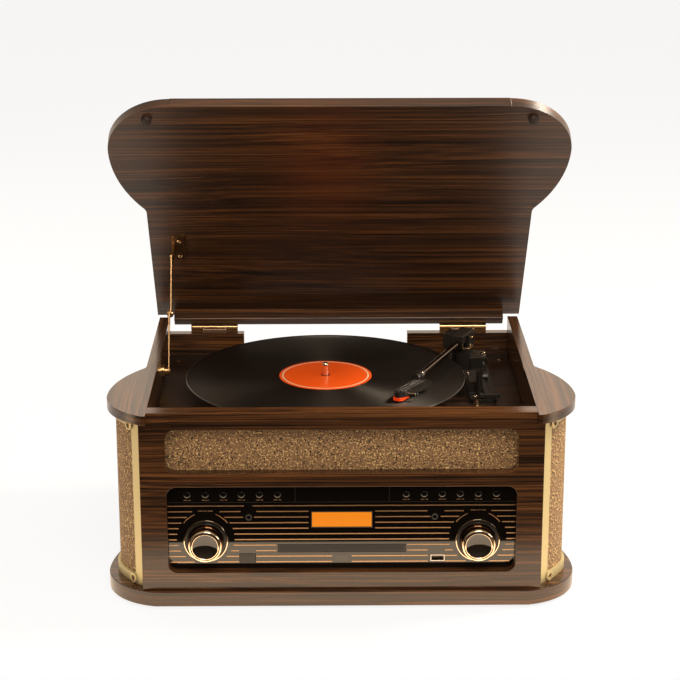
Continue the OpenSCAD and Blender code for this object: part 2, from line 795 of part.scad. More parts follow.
// The power and output board on the case's floor, with its transformer and rear sockets.
module power_board() {
    flange_y = cabinet_d + set_gap;
    inlet_y = cabinet_d - inlet_body;
    phono_y = back_y - phono_deep - transformer_in + 1;
    top = supply_z + supply_t - 0.1;
    post_xs = [supply_x + supply_post_in, supply_x + supply_w - supply_post_in];
    post_ys = [supply_y + supply_post_in, supply_y + supply_d - supply_post_in];
    color("#355c3a") centred() difference() {
        union() {
            translate([supply_x, supply_y, supply_z]) cube([supply_w, supply_d, supply_t]);
            for (x = post_xs, y = post_ys) translate([x, y, 0]) cylinder_to(supply_post_r, base_z, supply_z + 0.1);
            translate([supply_x + transformer_in, supply_y + transformer_in, top]) cube(transformer);
            translate([inlet_x - inlet_w / 2, inlet_y, top]) cube([inlet_w, inlet_foot, inlet_z - top]);
            translate([inlet_x - inlet_w / 2, inlet_y, inlet_z - inlet_h / 2])
                cube([inlet_w, flange_y + 1 - inlet_y, inlet_h]);
            translate([inlet_x - inlet_w / 2 - inlet_rim, flange_y, inlet_z - inlet_h / 2 - inlet_rim])
                cube([inlet_w + 2 * inlet_rim, inlet_rim_t, inlet_h + 2 * inlet_rim]);
            translate([phono_xs[0] - phono_side, phono_y, top])
                cube([phono_xs[1] - phono_xs[0] + 2 * phono_side, phono_deep, inlet_z + phono_side - 1 - top]);
            for (x = phono_xs) translate([x, 0, inlet_z]) {
                bar_y(phono_collar_r, phono_y + phono_deep - 1, cabinet_d);
                bar_y(phono_r, cabinet_d - 0.1, cabinet_d + phono_len);
            }
        }
        translate([inlet_x - inlet_mouth.x / 2, flange_y - inlet_mouth.y, inlet_z - inlet_mouth.z / 2])
            cube([inlet_mouth.x, inlet_mouth.y + inlet_rim_t + 1, inlet_mouth.z]);
        for (x = phono_xs) translate([x, 0, inlet_z])
            bar_y(phono_bore_r, phono_y + phono_deep + 2, cabinet_d + phono_len + 1);
    }
    color(steel) centred() for (s = [-1, 1]) translate([inlet_x + s * inlet_pin_x, 0, inlet_z])
        bar_y(inlet_pin_r, flange_y - inlet_mouth.y - 0.1, flange_y - 1);
}

// The memory-stick socket: a folded steel shell with its contact tongue.
module usb_socket() {
    x = usb_x - usb_w / 2;
    z = base_z + usb_z - usb_h / 2;
    color(steel) centred() {
        difference() {
            translate([x, control_in - usb_out, z]) cube([usb_w, board_front - control_in + usb_out, usb_h]);
            translate([x + usb_wall, control_in - 1, z + usb_wall])
                cube([usb_w - 2 * usb_wall, board_front - control_in - 1, usb_h - 2 * usb_wall]);
        }
        translate([x + usb_wall - 0.1, control_in + usb_tongue_in, z + usb_h - usb_wall - usb_tongue_t])
            cube([usb_w - 2 * usb_wall + 0.2, board_front - control_in - 2 * usb_tongue_in, usb_tongue_t + 0.1]);
    }
}

usb_out = 0.3;
usb_tongue_in = 1.5;
usb_tongue_t = 1.2;

// The tray's body behind its front, its hollow for the disc, and the chassis round it.
tray_len = 150;
tray_t = 5;
tray_inset = 0.6;
tray_body_z = base_z + tray_z + tray_inset;
disc_deep = 2;
disc_hub_r = 17;
disc_in = 66;
disc_y = plate_y + disc_in;
chassis_over = 12;
chassis_back = plate_y + tray_len + chassis_over;
chassis_wall = 6;
chassis_t = 4;
tray_head = 2;
leg_r = 4;
leg_in = 12;

// The chassis that the disc tray slides in, on four legs.
module disc_mechanism() {
    low = tray_body_z - slide_gap;
    half = tray_w / 2 + slide_gap;
    y0 = plate_back + set_gap;
    color(steel) centred() difference() {
        union() {
            translate([-half - chassis_wall, y0, low - chassis_t])
                cube([2 * (half + chassis_wall), chassis_back - y0, tray_h + tray_head + 2 * chassis_t]);
            for (x = [-half, half], y = [y0 + leg_in, chassis_back - leg_in])
                translate([x, y, 0]) cylinder_to(leg_r, base_z, low - chassis_t + 1);
        }
        translate([-half, y0 - 1, low]) cube([2 * half, chassis_back - y0 + 1 - chassis_t, tray_h + tray_head]);
    }
}

module disc_tray() {
    color("#2b2b2b") centred() difference() {
        union() {
            translate([-tray_w / 2, control_in, base_z + tray_z]) cube([tray_w, face_t, tray_h]);
            translate([-tray_w / 2 + tray_inset, plate_y - 0.1, tray_body_z])
                cube([tray_w - 2 * tray_inset, tray_len, tray_t]);
        }
        translate([0, disc_y, tray_body_z + tray_t - disc_deep]) cylinder(d = disc_d, h = tray_h);
        translate([0, disc_y, tray_body_z - 1]) cylinder(r = disc_hub_r, h = tray_h);
    }
}

window_h = board_z - base_z - 2 * frame_border;
frame_front_gap = 1;
boss_out = 1.8;
boss_hollow = 1;

// The pressed metal frame round a speaker column's cloth.
module speaker_frame(side) {
    front_x = front_w / 2 + frame_front_gap;
    color(pale_gold) centred() on_side(side) difference() {
        union() {
            difference() {
                translate([0, 0, base_z + set_gap]) linear_extrude(board_z - base_z - 2 * set_gap)
                    difference() {
                        intersection() {
                            column(0);
                            union() {
                                translate([half_out + set_gap, 0]) square([big, big]);
                                translate([front_x, 0]) square([big, front_t - set_gap]);
                            }
                        }
                        column(frame_t);
                    }
                translate([front_x + frame_strip, -1, base_z + frame_border]) cube([big, big, window_h]);
            }
            at_bosses() translate([0, 0, -frame_t]) cylinder(d = boss_d, h = frame_t + boss_out);
        }
        linear_extrude(big) column(frame_t + 0.01);
        at_bosses() {
            cylinder_to(screw_r + shaft_gap, -boss_d, boss_out + 1);
            cylinder_to(screw_head_r + screw_head_gap, -boss_hollow, boss_out + 1);
        }
    }
}

module left_speaker_frame() {
    speaker_frame(-1);
}

module right_speaker_frame() {
    speaker_frame(1);
}

// The cloth-covered grille board behind a speaker's frame.
module speaker_cloth(side) {
    color(cloth) centred() on_side(side) difference() {
        translate([0, 0, base_z + set_gap]) linear_extrude(board_z - base_z - 2 * set_gap)
            difference() {
                column_side(frame_t + set_gap);
                column(frame_t + set_gap + grille_t);
            }
        at_bosses() translate([0, 0, -screw_len]) cylinder(r = screw_r + shaft_gap, h = screw_len);
    }
}

module left_speaker_cloth() {
    speaker_cloth(-1);
}

module right_speaker_cloth() {
    speaker_cloth(1);
}

// A speaker driver on the side wall: flange, open cone, basket and magnet.
module driver(side) {
    rim = driver_d / 2;
    cone = [
        [0, -coil_deep], [coil_r, -coil_deep], [coil_r, -coil_deep + cone_t], [rim - driver_seat - cone_t, 0],
        [rim, 0], [rim, driver_rim_t], [rim - driver_seat - driver_rim_t, driver_rim_t],
        [coil_r + 1, 1 - coil_deep + cone_t],
        [cap_r, -coil_deep + 2 * cone_t], [0, 1 - coil_deep + 2 * cone_t]
    ];
    color(black) centred() on_side(side) translate([half_out + set_gap, column_y, driver_z]) rotate([0, 90, 0]) {
        rotate_extrude() polygon(cone);
        translate([0, 0, -coil_deep - magnet_h]) cylinder(r = magnet_r, h = magnet_h + 0.1);
    }
}

driver_rim_t = 2;
coil_deep = 14;
coil_r = 8;
cone_t = 4;
cap_r = 6;
magnet_r = 22;
magnet_h = 18;

module left_driver() {
    driver(-1);
}

module right_driver() {
    driver(1);
}

// The column frames' screws and the deck's.
module screws() {
    color(brass) centred() {
        for (side = [-1, 1]) on_side(side) at_bosses()
            translate([0, 0, set_gap]) screw(screw_len - set_gap - slide_gap);
        for (p = deck_screws) translate([p.x, p.y, deck_z]) screw(deck_t + deck_screw_extra);
    }
}

module motor() {
    top = deck_z - deck_t;
    color(steel) centred() translate([motor_x, motor_y, 0]) difference() {
        union() {
            translate([0, 0, top - motor_h]) cylinder(r = motor_r, h = motor_h);
            translate([-motor_ear.x / 2, -motor_ear.y / 2, top - motor_ear.z]) cube(motor_ear);
        }
        translate([0, 0, top - shaft_deep - 1]) cylinder(r = motor_shaft_r + shaft_gap, h = shaft_deep + 2);
    }
}

module motor_pulley() {
    color(brass) centred() translate([motor_x, motor_y, 0]) {
        cylinder_to(pulley_r, ring_z, ring_z + ring_h - pulley_gap);
        cylinder_to(motor_shaft_r, deck_z - deck_t - shaft_deep, ring_z + 0.1);
    }
}

// The outline round two wheels and the straight runs between them.
module belt_outline(extra) {
    big_r = ring_r + extra;
    small_r = pulley_r + extra;
    a = acos((big_r - small_r) / motor_reach);
    circle(big_r);
    translate([motor_reach, 0]) circle(small_r);
    polygon([
        big_r * [cos(a), sin(a)], [motor_reach, 0] + small_r * [cos(a), sin(a)],
        [motor_reach, 0] + small_r * [cos(a), -sin(a)], big_r * [cos(a), -sin(a)]
    ]);
}

module drive_belt() {
    color(black) centred()
        translate([spindle_x, spindle_y, ring_z + (ring_h - pulley_gap - belt_h) / 2])
            rotate([0, 0, motor_a]) linear_extrude(belt_h) difference() {
                belt_outline(slide_gap + belt_t);
                belt_outline(slide_gap);
            }
}

// The fixed spindle: a thick shaft in the hub, a neck in the record, a round tip, a flange and a nut.
module spindle() {
    label_top = label_z + label_t;
    color(steel) centred() translate([spindle_x, spindle_y, 0]) {
        cylinder_to(hub_shaft_r, deck_z, mat_z - hub_shaft_low);
        cylinder_to(spindle_r - neck_in, deck_z, label_top + tip_lift + 0.1);
        cylinder_to(spindle_r, label_top + tip_lift, spindle_top - spindle_r);
        translate([0, 0, spindle_top - spindle_r]) sphere(spindle_r);
        cylinder_to(bush_r + flange_over, deck_z, deck_z + flange_t);
        cylinder_to(bush_r, deck_z - deck_t - bush_low, deck_z + 0.1);
        cylinder_to(bush_r + flange_over, deck_z - deck_t - bush_low, deck_z - deck_t - set_gap);
    }
}

// The platter's rim, its shell and the hub under it.
mat_in = 3;
platter_wall = 4;
platter_rib_gap = 1.5;
hub_over = 2;

// The platter: a disc, the drive ring, a hub that turns on the spindle, and the soft ring on top.
module platter() {
    color("#1d1d1f") centred() translate([spindle_x, spindle_y, 0]) difference() {
        union() {
            cylinder_to(platter_d / 2, platter_z, platter_z + platter_t);
            cylinder_to(ring_r, ring_z, platter_z + 0.1);
            cylinder_to(platter_d / 2 - mat_in, platter_z, mat_z);
        }
        cylinder_to(ring_r - platter_wall, ring_z - 1, platter_z + 0.01);
        cylinder_to(hub_shaft_r + shaft_gap, ring_z, mat_z + 1);
        difference() {
            cylinder_to(platter_d / 2 - platter_wall, platter_z - 1, platter_z + platter_t - platter_wall);
            cylinder_to(ring_r + platter_rib_gap, platter_z - 2, platter_z + platter_t);
        }
    }
    color("#1d1d1f") centred() translate([spindle_x, spindle_y, 0]) difference() {
        cylinder_to(bush_r + hub_over, deck_z + flange_t + slide_gap, platter_z + 1);
        cylinder_to(hub_shaft_r + shaft_gap, deck_z, mat_z);
    }
}

bead_w = 3;
land_w = 4;

// The record, with a raised bead at its edge and a raised land round the label.
module record() {
    color("#0d0d0d") centred() translate([spindle_x, spindle_y, 0]) difference() {
        union() {
            cylinder_to(record_d / 2, record_z + groove_t, label_z - groove_t);
            cylinder_to(record_d / 2 - bead_w, record_z, label_z - groove_t);
            difference() {
                cylinder_to(record_d / 2, label_z - groove_t - 0.1, label_z);
                cylinder_to(record_d / 2 - bead_w, label_z - groove_t, label_z + 1);
            }
            cylinder_to(label_d / 2 + land_w, label_z - groove_t - 0.1, label_z);
        }
        cylinder_to(spindle_r + shaft_gap, record_z - 1, label_z + 1);
    }
}

module record_label() {
    color("#e25510") centred() translate([spindle_x, spindle_y, 0]) difference() {
        cylinder_to(label_d / 2, label_z, label_z + label_t);
        cylinder_to(spindle_r + shaft_gap, label_z - 1, label_z + 2);
    }
}

// The arm's own frame at rest: zero is the pivot on the deck, and the arm points along -Y.
module arm_frame() {
    centred() translate([arm_x, arm_y, deck_z]) rotate([0, 0, -arm_angle]) children();
}

// The headshell's frame: zero is the end of the tube, and the shell points along -Y.
module shell_frame() {
    arm_frame() translate([shell_side, -tube_len, 0]) rotate([0, 0, -shell_angle]) children();
}

// The fixed base beside the record: plate, pedestal, block, lever pin and the arm's rest.
module tonearm_base() {
    rest = [arm_x + rest_reach * sin(rest_angle), arm_y - rest_reach * cos(rest_angle)];
    color(black) centred() difference() {
        union() {
            translate([0, 0, deck_z]) linear_extrude(base_h) {
                rounded(base_x0, base_y0, base_x1 - base_x0, base_y1 - base_y0, base_corner_r);
                translate([arm_x, arm_y]) circle(pedestal_r + pedestal_foot);
            }
            translate([arm_x, arm_y, 0]) {
                cylinder_to(pedestal_r, deck_z, deck_z + turret_z - slide_gap);
                cylinder_to(arm_sleeve_r, deck_z - deck_t - 2, deck_z + 1);
            }
            translate([arm_x + pedestal_r - side_box_in, arm_y - side_box_front, deck_z]) cube(side_box);
            translate([block_x0, block_y0, deck_z]) cube([block_w, block_len, block_h]);
            translate([0, lever_y, lever_z]) {
                bar_x(lever_pin_r, block_x0 + block_w - 1, lever_x1 + lever_head_t);
                bar_x(lever_pin_r + lever_head_t, lever_x1 + slide_gap, lever_x1 + slide_gap + lever_head_t);
            }
            translate([rest.x, rest.y, 0]) cylinder_to(rest_post_r, deck_z, deck_z + arm_h - tube_d / 2 - 2);
            translate([rest.x, rest.y, deck_z + arm_h])
                bar_y(tube_d / 2 + rest_room + rest_wall, -rest_half, rest_half);
        }
        translate([arm_x, arm_y, 0])
            cylinder_to(turret_shaft_r + shaft_gap, deck_z - deck_t - 3, deck_z + turret_z + 1);
        translate([rest.x, rest.y, deck_z + arm_h]) {
            bar_y(tube_d / 2 + rest_room, -rest_half - 2, rest_half + 2);
            translate([-rest_open, -rest_half - 2, 0])
                cube([rest_open + tube_d / 2 + rest_room, 2 * rest_half + 4, rest_open]);
            translate([-rest_open, -rest_half - 2, -tube_d / 2 - rest_room])
                cube([rest_open, 2 * rest_half + 4, rest_open]);
        }
    }
}

// The turret: a turntable with two cheeks, the cross pin and the shaft in the pedestal.
module gimbal() {
    x0 = block_x - carrier_w / 2 - slide_gap;
    x1 = block_x + carrier_w / 2 + slide_gap;
    color("#26241f") arm_frame() {
        cylinder_to(turret_shaft_r, shaft_low, turret_z + 0.1);
        cylinder_to(turret_r, turret_z, turret_z + turret_t);
        translate([x0 - left_cheek_w, -cross_y, turret_z])
            cube([x1 - x0 + left_cheek_w + right_cheek_w, 3 * cross_y, turret_t]);
        translate([x0 - left_cheek_w, -left_cheek_front, carrier_z - 1])
            cube([left_cheek_w, left_cheek_len, arm_top - carrier_z + 1]);
        translate([x0 - left_cheek_w, -cross_y, turret_z]) cube([left_cheek_w, 2 * cross_y, 2 * turret_t]);
        translate([x1, -right_cheek_front, turret_z])
            cube([right_cheek_w, right_cheek_len, arm_top - turret_z - right_cheek_drop]);
        translate([0, cross_y, cross_z]) bar_x(cross_r, x0 - 0.1, x1 + 0.1);
    }
}

// The shaft's foot above the deck and the two cheeks.
shaft_low = 4;
left_cheek_front = 15;
left_cheek_len = 25;
right_cheek_front = 3;
right_cheek_len = 19;
right_cheek_drop = 2;
carrier_front = 16;
carrier_len = 36;
carrier_nose_t = 3;
carrier_nose_z = 28.5;

// The arm tube in its carrier block, which rocks on the turret's cross pin.
module arm_tube() {
    color(steel) arm_frame() difference() {
        union() {
            translate([block_x - carrier_w / 2, -carrier_front, carrier_z])
                cube([carrier_w, carrier_len, arm_top - carrier_z]);
            translate([block_x - carrier_w / 2, -carrier_front, carrier_nose_z])
                cube([carrier_w, carrier_nose_t, arm_top - carrier_nose_z]);
            translate([0, 0, arm_h]) bar_y(tube_d / 2, -tube_len, 0.1 - carrier_front);
        }
        translate([0, cross_y, cross_z]) bar_x(cross_r + shaft_gap, -carrier_w, carrier_w);
    }
}

// The headshell: a collar on the tube, a tapered ribbed body and a finger lift.
module headshell() {
    rear_w = shell_w + shell_flare;
    color(black) difference() {
        union() {
            arm_frame() translate([0, 0, arm_h]) bar_y(tube_d / 2 + collar_t, -tube_len, collar_len - tube_len);
            shell_frame() {
                difference() {
                    translate([0, 0, shell_low]) linear_extrude(shell_h) polygon([
                        [-rear_w / 2, 0], [-rear_w / 2, -shell_rear], [-shell_w / 2, shell_nose - shell_len],
                        [shell_nose / 2 - shell_w / 2, -shell_len], [shell_w / 2 - shell_nose / 2, -shell_len],
                        [shell_w / 2, shell_nose - shell_len], [rear_w / 2, -shell_rear], [rear_w / 2, 0]
                    ]);
                    translate([-shell_w, -shell_len - 1, shell_low - 1])
                        cube([2 * shell_w, stylus_len + 1 + set_gap, 2]);
                }
                translate([-shell_side, 0, arm_h]) bar_y(tube_d / 2 + 1, -shell_nose, 1);
                for (i = [0 : rib_count - 1])
                    translate([i * rib_pitch - rib_reach, rib_start - shell_len, shell_low + shell_h - 0.1])
                        cube([rib_w, shell_len - rib_start - shell_nose, rib_h + 0.1]);
                translate([shell_w / 2 - 1, finger_y - shell_len, shell_low + finger_z])
                    cube([finger_len + 1, finger_w, finger_t]);
                translate([shell_w / 2 + finger_len - finger_t, finger_y - shell_len, shell_low + finger_z])
                    rotate([0, finger_tilt, 0]) cube([finger_t, finger_w, finger_w]);
            }
        }
        arm_frame() translate([0, 0, arm_h])
            bar_y(tube_d / 2 + tube_gap, -tube_len - tube_gap, collar_len + 1 - tube_len);
    }
}

// The headshell's collar, nose, ribs and finger lift, and the stylus holder's length.
collar_t = 1.8;
collar_len = 9;
shell_flare = 8;
shell_rear = 10;
shell_nose = 6;
rib_count = 4;
rib_start = 5;
rib_pitch = 2.8;
rib_w = 1.2;
rib_h = 0.8;
rib_reach = ((rib_count - 1) * rib_pitch + rib_w) / 2;
tube_gap = 0.02;
finger_y = 12;
finger_z = 2.5;
finger_len = 10;
finger_w = 3;
finger_t = 1.2;
finger_tilt = 35;
stylus_len = 15;
stylus_nose = 4;
stylus_lip = 2;
needle_h = 1.2;
needle_r = 0.9;
needle_tip_r = 0.25;

// The stylus holder under the headshell's front, with its needle over the groove.
module stylus() {
    needle_z = label_z - deck_z + needle_gap;
    color("#ff5a00") shell_frame() {
        translate([0, 0, needle_z + needle_h]) linear_extrude(shell_low + 1 - needle_z - needle_h) polygon([
            [-shell_w / 2, stylus_len - shell_len], [-shell_w / 2, stylus_nose - shell_len],
            [stylus_lip - shell_w / 2, -shell_len - 1], [shell_w / 2 - stylus_lip, -shell_len - 1],
            [shell_w / 2, stylus_nose - shell_len], [shell_w / 2, stylus_len - shell_len]
        ]);
        translate([0, shell_nose - shell_len, needle_z])
            cylinder(r1 = needle_tip_r, r2 = needle_r, h = needle_h + 0.1);
    }
}

base_h = 5;
base_x0 = 140;
base_x1 = 168;
base_y0 = 148;
base_y1 = 286;
pedestal_r = 13;
block_x0 = 139.6;
block_w = 12;
block_y0 = 173;
block_len = 36;
block_h = 17;
base_corner_r = 6;
pedestal_foot = 5;
side_box = [18, 30, 18];
side_box_in = 4;
side_box_front = 10;
rest_post_r = 3.5;
rest_room = 0.5;
rest_wall = 2.1;
rest_half = 4;
rest_open = 10;
lever_y = 204;
lever_lift = 12;
lever_z = deck_z + lever_lift;
lever_pin_r = 2;
lever_hub_r = 5;
lever_hub_w = 9;
lever_head_t = 1.5;
lever_x0 = block_x0 + block_w + slide_gap;
lever_x1 = lever_x0 + lever_hub_w;
lever_arm_w = 4;
lever_arm_t = 4;
paddle_reach = 54;
lever_arm_drop = 5;
paddle = [22, 7, 4];
paddle_drop = 6;
paddle_left = 2;
paddle_y = lever_y - paddle_reach;

// The cueing lever: a hub on its pin and an arm down to a wide paddle in front.
module cue_lever() {
    color(black) centred() difference() {
        union() {
            translate([0, lever_y, lever_z]) bar_x(lever_hub_r, lever_x0, lever_x1);
            translate([lever_x0 + (lever_hub_w - lever_arm_w) / 2, paddle_y + paddle.y / 2, lever_z - lever_arm_drop])
                cube([lever_arm_w, paddle_reach - (paddle.y + lever_hub_r) / 2, lever_arm_t]);
            translate([lever_x0 - paddle_left, paddle_y, lever_z - paddle_drop]) cube(paddle);
        }
        translate([0, lever_y, lever_z]) bar_x(lever_pin_r + shaft_gap, lever_x0 - 1, lever_x1 + 1);
    }
}

// The speed switch: a post with a pointer, standing in the deck plate's front corner.
module speed_switch() {
    color(steel) centred() translate([switch_x, switch_y, 0]) {
        cylinder_to(switch_stem_r, deck_z - switch_deep + slide_gap, deck_z + 1);
        cylinder_to(switch_post_r, deck_z + slide_gap, deck_z + switch_h);
        cylinder_to(switch_disc_r, deck_z + slide_gap, deck_z + switch_disc_t);
        translate([-switch_pointer.x / 2, -switch_pointer.y, deck_z + slide_gap]) cube(switch_pointer);
    }
}

switch_x = 146;
switch_y = 139;
switch_stem_r = 2;
switch_deep = 6;
switch_post_r = 3;
switch_h = 9;
switch_disc_r = 5;
switch_disc_t = 3;
switch_pointer = [2.4, 8, 2.6];

// A knob's profile turned round its own axis, with its shaft through the control plate.
module knob(x) {
    foot = slide_gap + knob_rim_t;
    ring = knob_len - knob_ring_w;
    profile = [
        [0, slide_gap], [knob_r, slide_gap], [knob_r, foot - 1], [knob_r - 1, foot], [knob_r - 3, foot],
        [knob_r - 4, foot + knob_dish], [knob_ring_r + 0.2, ring - 0.6], [knob_ring_r, ring],
        [knob_ring_r, knob_len - 1], [knob_ring_r - 1, knob_len], [knob_ring_r - 2.4, knob_len],
        [knob_ring_r - 3, knob_len - knob_dish], [0, knob_len - knob_dish]
    ];
    color(brass) centred() translate([x, control_in, base_z + knob_z]) {
        rotate([90, 0, 0]) rotate_extrude() polygon(profile);
        bar_y(knob_shaft_r, -0.5, board_front - control_in - 2);
    }
}

knob_rim_t = 2.3;
knob_ring_w = 4.4;
knob_dish = 0.8;

module volume_knob() {
    knob(-knob_x);
}

module tuning_knob() {
    knob(knob_x);
}

// A round push button with a flange behind the plate and a stem towards its switch.
module round_button(x) {
    stem = board_front - tact_h - button_travel - slide_gap;
    color("#2a2a2a") centred() translate([x, 0, base_z + button_z]) {
        bar_y(button_d / 2, control_in + button_round - button_out, plate_back + 0.1);
        bar_y(button_d / 2 - button_round, control_in - button_out, control_in);
        bar_y(button_d / 2 + button_flange, plate_back + slide_gap, plate_back + slide_gap + button_flange_t);
        bar_y(button_stem_r, plate_back, stem);
    }
}

button_out = 1;
button_round = 0.4;
button_flange = 1;
button_flange_t = 1.4;
button_stem_r = 1.5;
power_out = 0.5;
power_stem_r = 2;

module button_1() {
    round_button(-(button_x + 5 * button_pitch));
}

module button_2() {
    round_button(-(button_x + 4 * button_pitch));
}

module button_3() {
    round_button(-(button_x + 3 * button_pitch));
}

module button_4() {
    round_button(-(button_x + 2 * button_pitch));
}

module button_5() {
    round_button(-(button_x + 1 * button_pitch));
}

module button_6() {
    round_button(-button_x);
}

module button_7() {
    round_button(button_x);
}

module button_8() {
    round_button((button_x + 1 * button_pitch));
}

module button_9() {
    round_button((button_x + 2 * button_pitch));
}

module button_10() {
    round_button((button_x + 3 * button_pitch));
}

module button_11() {
    round_button((button_x + 4 * button_pitch));
}

module button_12() {
    round_button((button_x + 5 * button_pitch));
}

module power_button() {
    stem = board_front - tact_h - power_travel - slide_gap;
    color("#3a3a3a") centred() {
        translate([-power_x - power_w / 2, control_in - power_out, base_z + power_z])
            cube([power_w, plate_back - control_in + power_out + slide_gap + 0.2, power_h]);
        translate([-power_x - power_w / 2 - button_flange, plate_back + slide_gap, base_z + power_z - button_flange])
            cube([power_w + 2 * button_flange, button_flange_t, power_h + 2 * button_flange]);
        translate([-power_x, 0, base_z + power_z + power_h / 2]) bar_y(power_stem_r, plate_back, stem);
    }
}

// The lid's frame: zero is the hinge line, turned from closed to where the lid rests open.
module lid_frame() {
    centred() translate([0, hinge_y, hinge_z]) rotate([-open_angle, 0, 0]) children();
}

module lid_board() {
    color(dark_wood) lid_frame() translate([0, -hinge_y, lid_low]) linear_extrude(lid_t)
        lobed(lid_side, board_reach + lid_over, board_rear_r + lid_over, lid_corner_r, -lid_tip,
            hinge_y - leaf_t / 2);
}

module lid_rail() {
    color(dark_wood) lid_frame() translate([-rail_w / 2, -leaf_t / 2 - rail_t, rail_lift])
        cube([rail_w, rail_t, rail_h]);
}

module lid_bumpers() {
    color("#2a1a12") lid_frame() for (x = [-bumper_x, bumper_x])
        translate([x, bumper_y - hinge_y, lid_low - bumper_h]) cylinder(d = bumper_d, h = bumper_h);
}

// One part of a hinge: a leaf above the knuckles, with its own knuckles drilled for the pin.
module leaf(own) {
    difference() {
        union() {
            translate([-hinge_w / 2, -leaf_t / 2, rail_lift]) cube([hinge_w, leaf_t, leaf_h]);
            for (k = own) {
                bar_x(knuckle_r, k[0], k[1]);
                translate([k[0], -leaf_t / 2, 0]) cube([k[1] - k[0], leaf_t, rail_lift + 0.1]);
            }
        }
        bar_x(hinge_pin_r + shaft_gap, -hinge_w, hinge_w);
    }
}

middle_knuckle = [[-knuckle_w / 2, knuckle_w / 2]];
outer_knuckles = [
    [-hinge_w / 2, -knuckle_w / 2 - slide_gap],
    [knuckle_w / 2 + slide_gap, hinge_w / 2]
];

// The leaves on the back panel with their pins, and the bracket of the lid's stay on the wall.
module cabinet_hinges() {
    color(brass) centred() {
        for (x = [-hinge_x, hinge_x]) translate([x, hinge_y, hinge_z]) {
            mirror([0, 0, 1]) leaf(outer_knuckles);
            bar_x(hinge_pin_r, -hinge_w / 2, hinge_w / 2);
        }
        translate([0, stay_wall_y, stay_wall_z]) {
            bar_x(stay_disc_r, -half_in, -half_in + stay_disc_t);
            bar_x(link_w / 2, -half_in + stay_disc_t - 0.1, -lower_link_x - link_t - 0.1);
            bar_x(stay_pin_r, -half_in + stay_disc_t, -lower_link_x + 0.2);
            bar_x(stay_head_r, -lower_link_x + 0.1, -lower_link_x + 0.1 + stay_head_t);
        }
    }
}

// The leaves on the lid's rail, and the plate and pin of the stay.
module lid_hinges() {
    plate_z = lid_low - stay_plate_t;
    color(brass) lid_frame() {
        for (x = [-hinge_x, hinge_x]) translate([x, 0, 0]) leaf(middle_knuckle);
        translate([-stay_x, -stay_reach - stay_plate_front, plate_z])
            cube([stay_plate_w, stay_plate_len - stay_plate_w / 2, stay_plate_t]);
        translate([-stay_x, -stay_reach - stay_plate_front + stay_plate_len, plate_z])
            translate([stay_plate_w / 2, -stay_plate_w / 2]) cylinder(d = stay_plate_w, h = stay_plate_t);
        translate([-stay_x, -stay_reach - stay_ear_w / 2, stay_in - stay_ear_drop])
            cube([stay_flange_t, stay_ear_w, plate_z - stay_in + stay_ear_drop + 0.1]);
        translate([0, -stay_reach, stay_in]) {
            bar_x(stay_pin_r, -upper_link_x - link_t - 0.2, -stay_x + 0.1);
            bar_x(stay_head_r, -upper_link_x - link_t - 0.1 - stay_head_t, -upper_link_x - link_t - 0.1);
        }
    }
}

// The stay's disc on the wall, its pins' heads, its plate and its ear under the lid.
stay_disc_r = 8;
stay_disc_t = 2;
stay_head_r = stay_pin_r + 1.6;
stay_head_t = 0.8;
stay_plate_front = 28;
stay_plate_len = 40;
stay_ear_w = 12;
stay_ear_drop = 5;

// A flat link with round ends, drilled at one end and with a rivet's head at the other.
module link(x, head_x) {
    difference() {
        union() {
            bar_x(link_w / 2, x - link_t, x);
            translate([x - link_t, 0, -link_w / 2]) cube([link_t, link_len, link_w]);
            translate([0, link_len, 0]) bar_x(link_w / 2, x - link_t, x);
            translate([0, link_len, 0]) bar_x(stay_head_r, head_x, head_x + link_t + 0.3);
        }
        bar_x(stay_pin_r + shaft_gap, x - link_t - 1, x + 1);
    }
}

module stay_lower_link() {
    color(brass) centred() translate([0, stay_wall_y, stay_wall_z]) rotate([stay_tilt, 0, 0])
        link(-lower_link_x, -lower_link_x - link_t - 1.6);
}

module stay_upper_link() {
    color(brass) centred() translate([0, stay_lid_y, stay_lid_z]) rotate([stay_tilt + 180, 0, 0])
        link(-upper_link_x, -upper_link_x - 0.1);
}

plinth();
feet();
front_panel();
left_wall();
right_wall();
left_top_board();
right_top_board();
back_panel();
deck_board();
grille_cloth();
control_plate();
display_window();
control_board();
power_board();
usb_socket();
disc_mechanism();
left_speaker_frame();
right_speaker_frame();
left_speaker_cloth();
right_speaker_cloth();
left_driver();
right_driver();
screws();
motor();
drive_belt();
spindle();
tonearm_base();
cabinet_hinges();
volume_knob();
tuning_knob();
disc_tray();
platter();
record();
record_label();
motor_pulley();
gimbal();
arm_tube();
headshell();
stylus();
cue_lever();
speed_switch();
lid_board();
lid_rail();
lid_bumpers();
lid_hinges();
stay_lower_link();
stay_upper_link();
power_button();
button_1();
button_2();
button_3();
button_4();
button_5();
button_6();
button_7();
button_8();
button_9();
button_10();
button_11();
button_12();
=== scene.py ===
"""Finishes a wooden record player: walnut print, woven cloth, gilt trim, gloss controls and the turntable.

The construction is loaded as a fixed frame, in metres, with X to the right, Y to the back and Z up.
"""

import json
import math

import bmesh
import bpy
from mathutils import Matrix, Vector

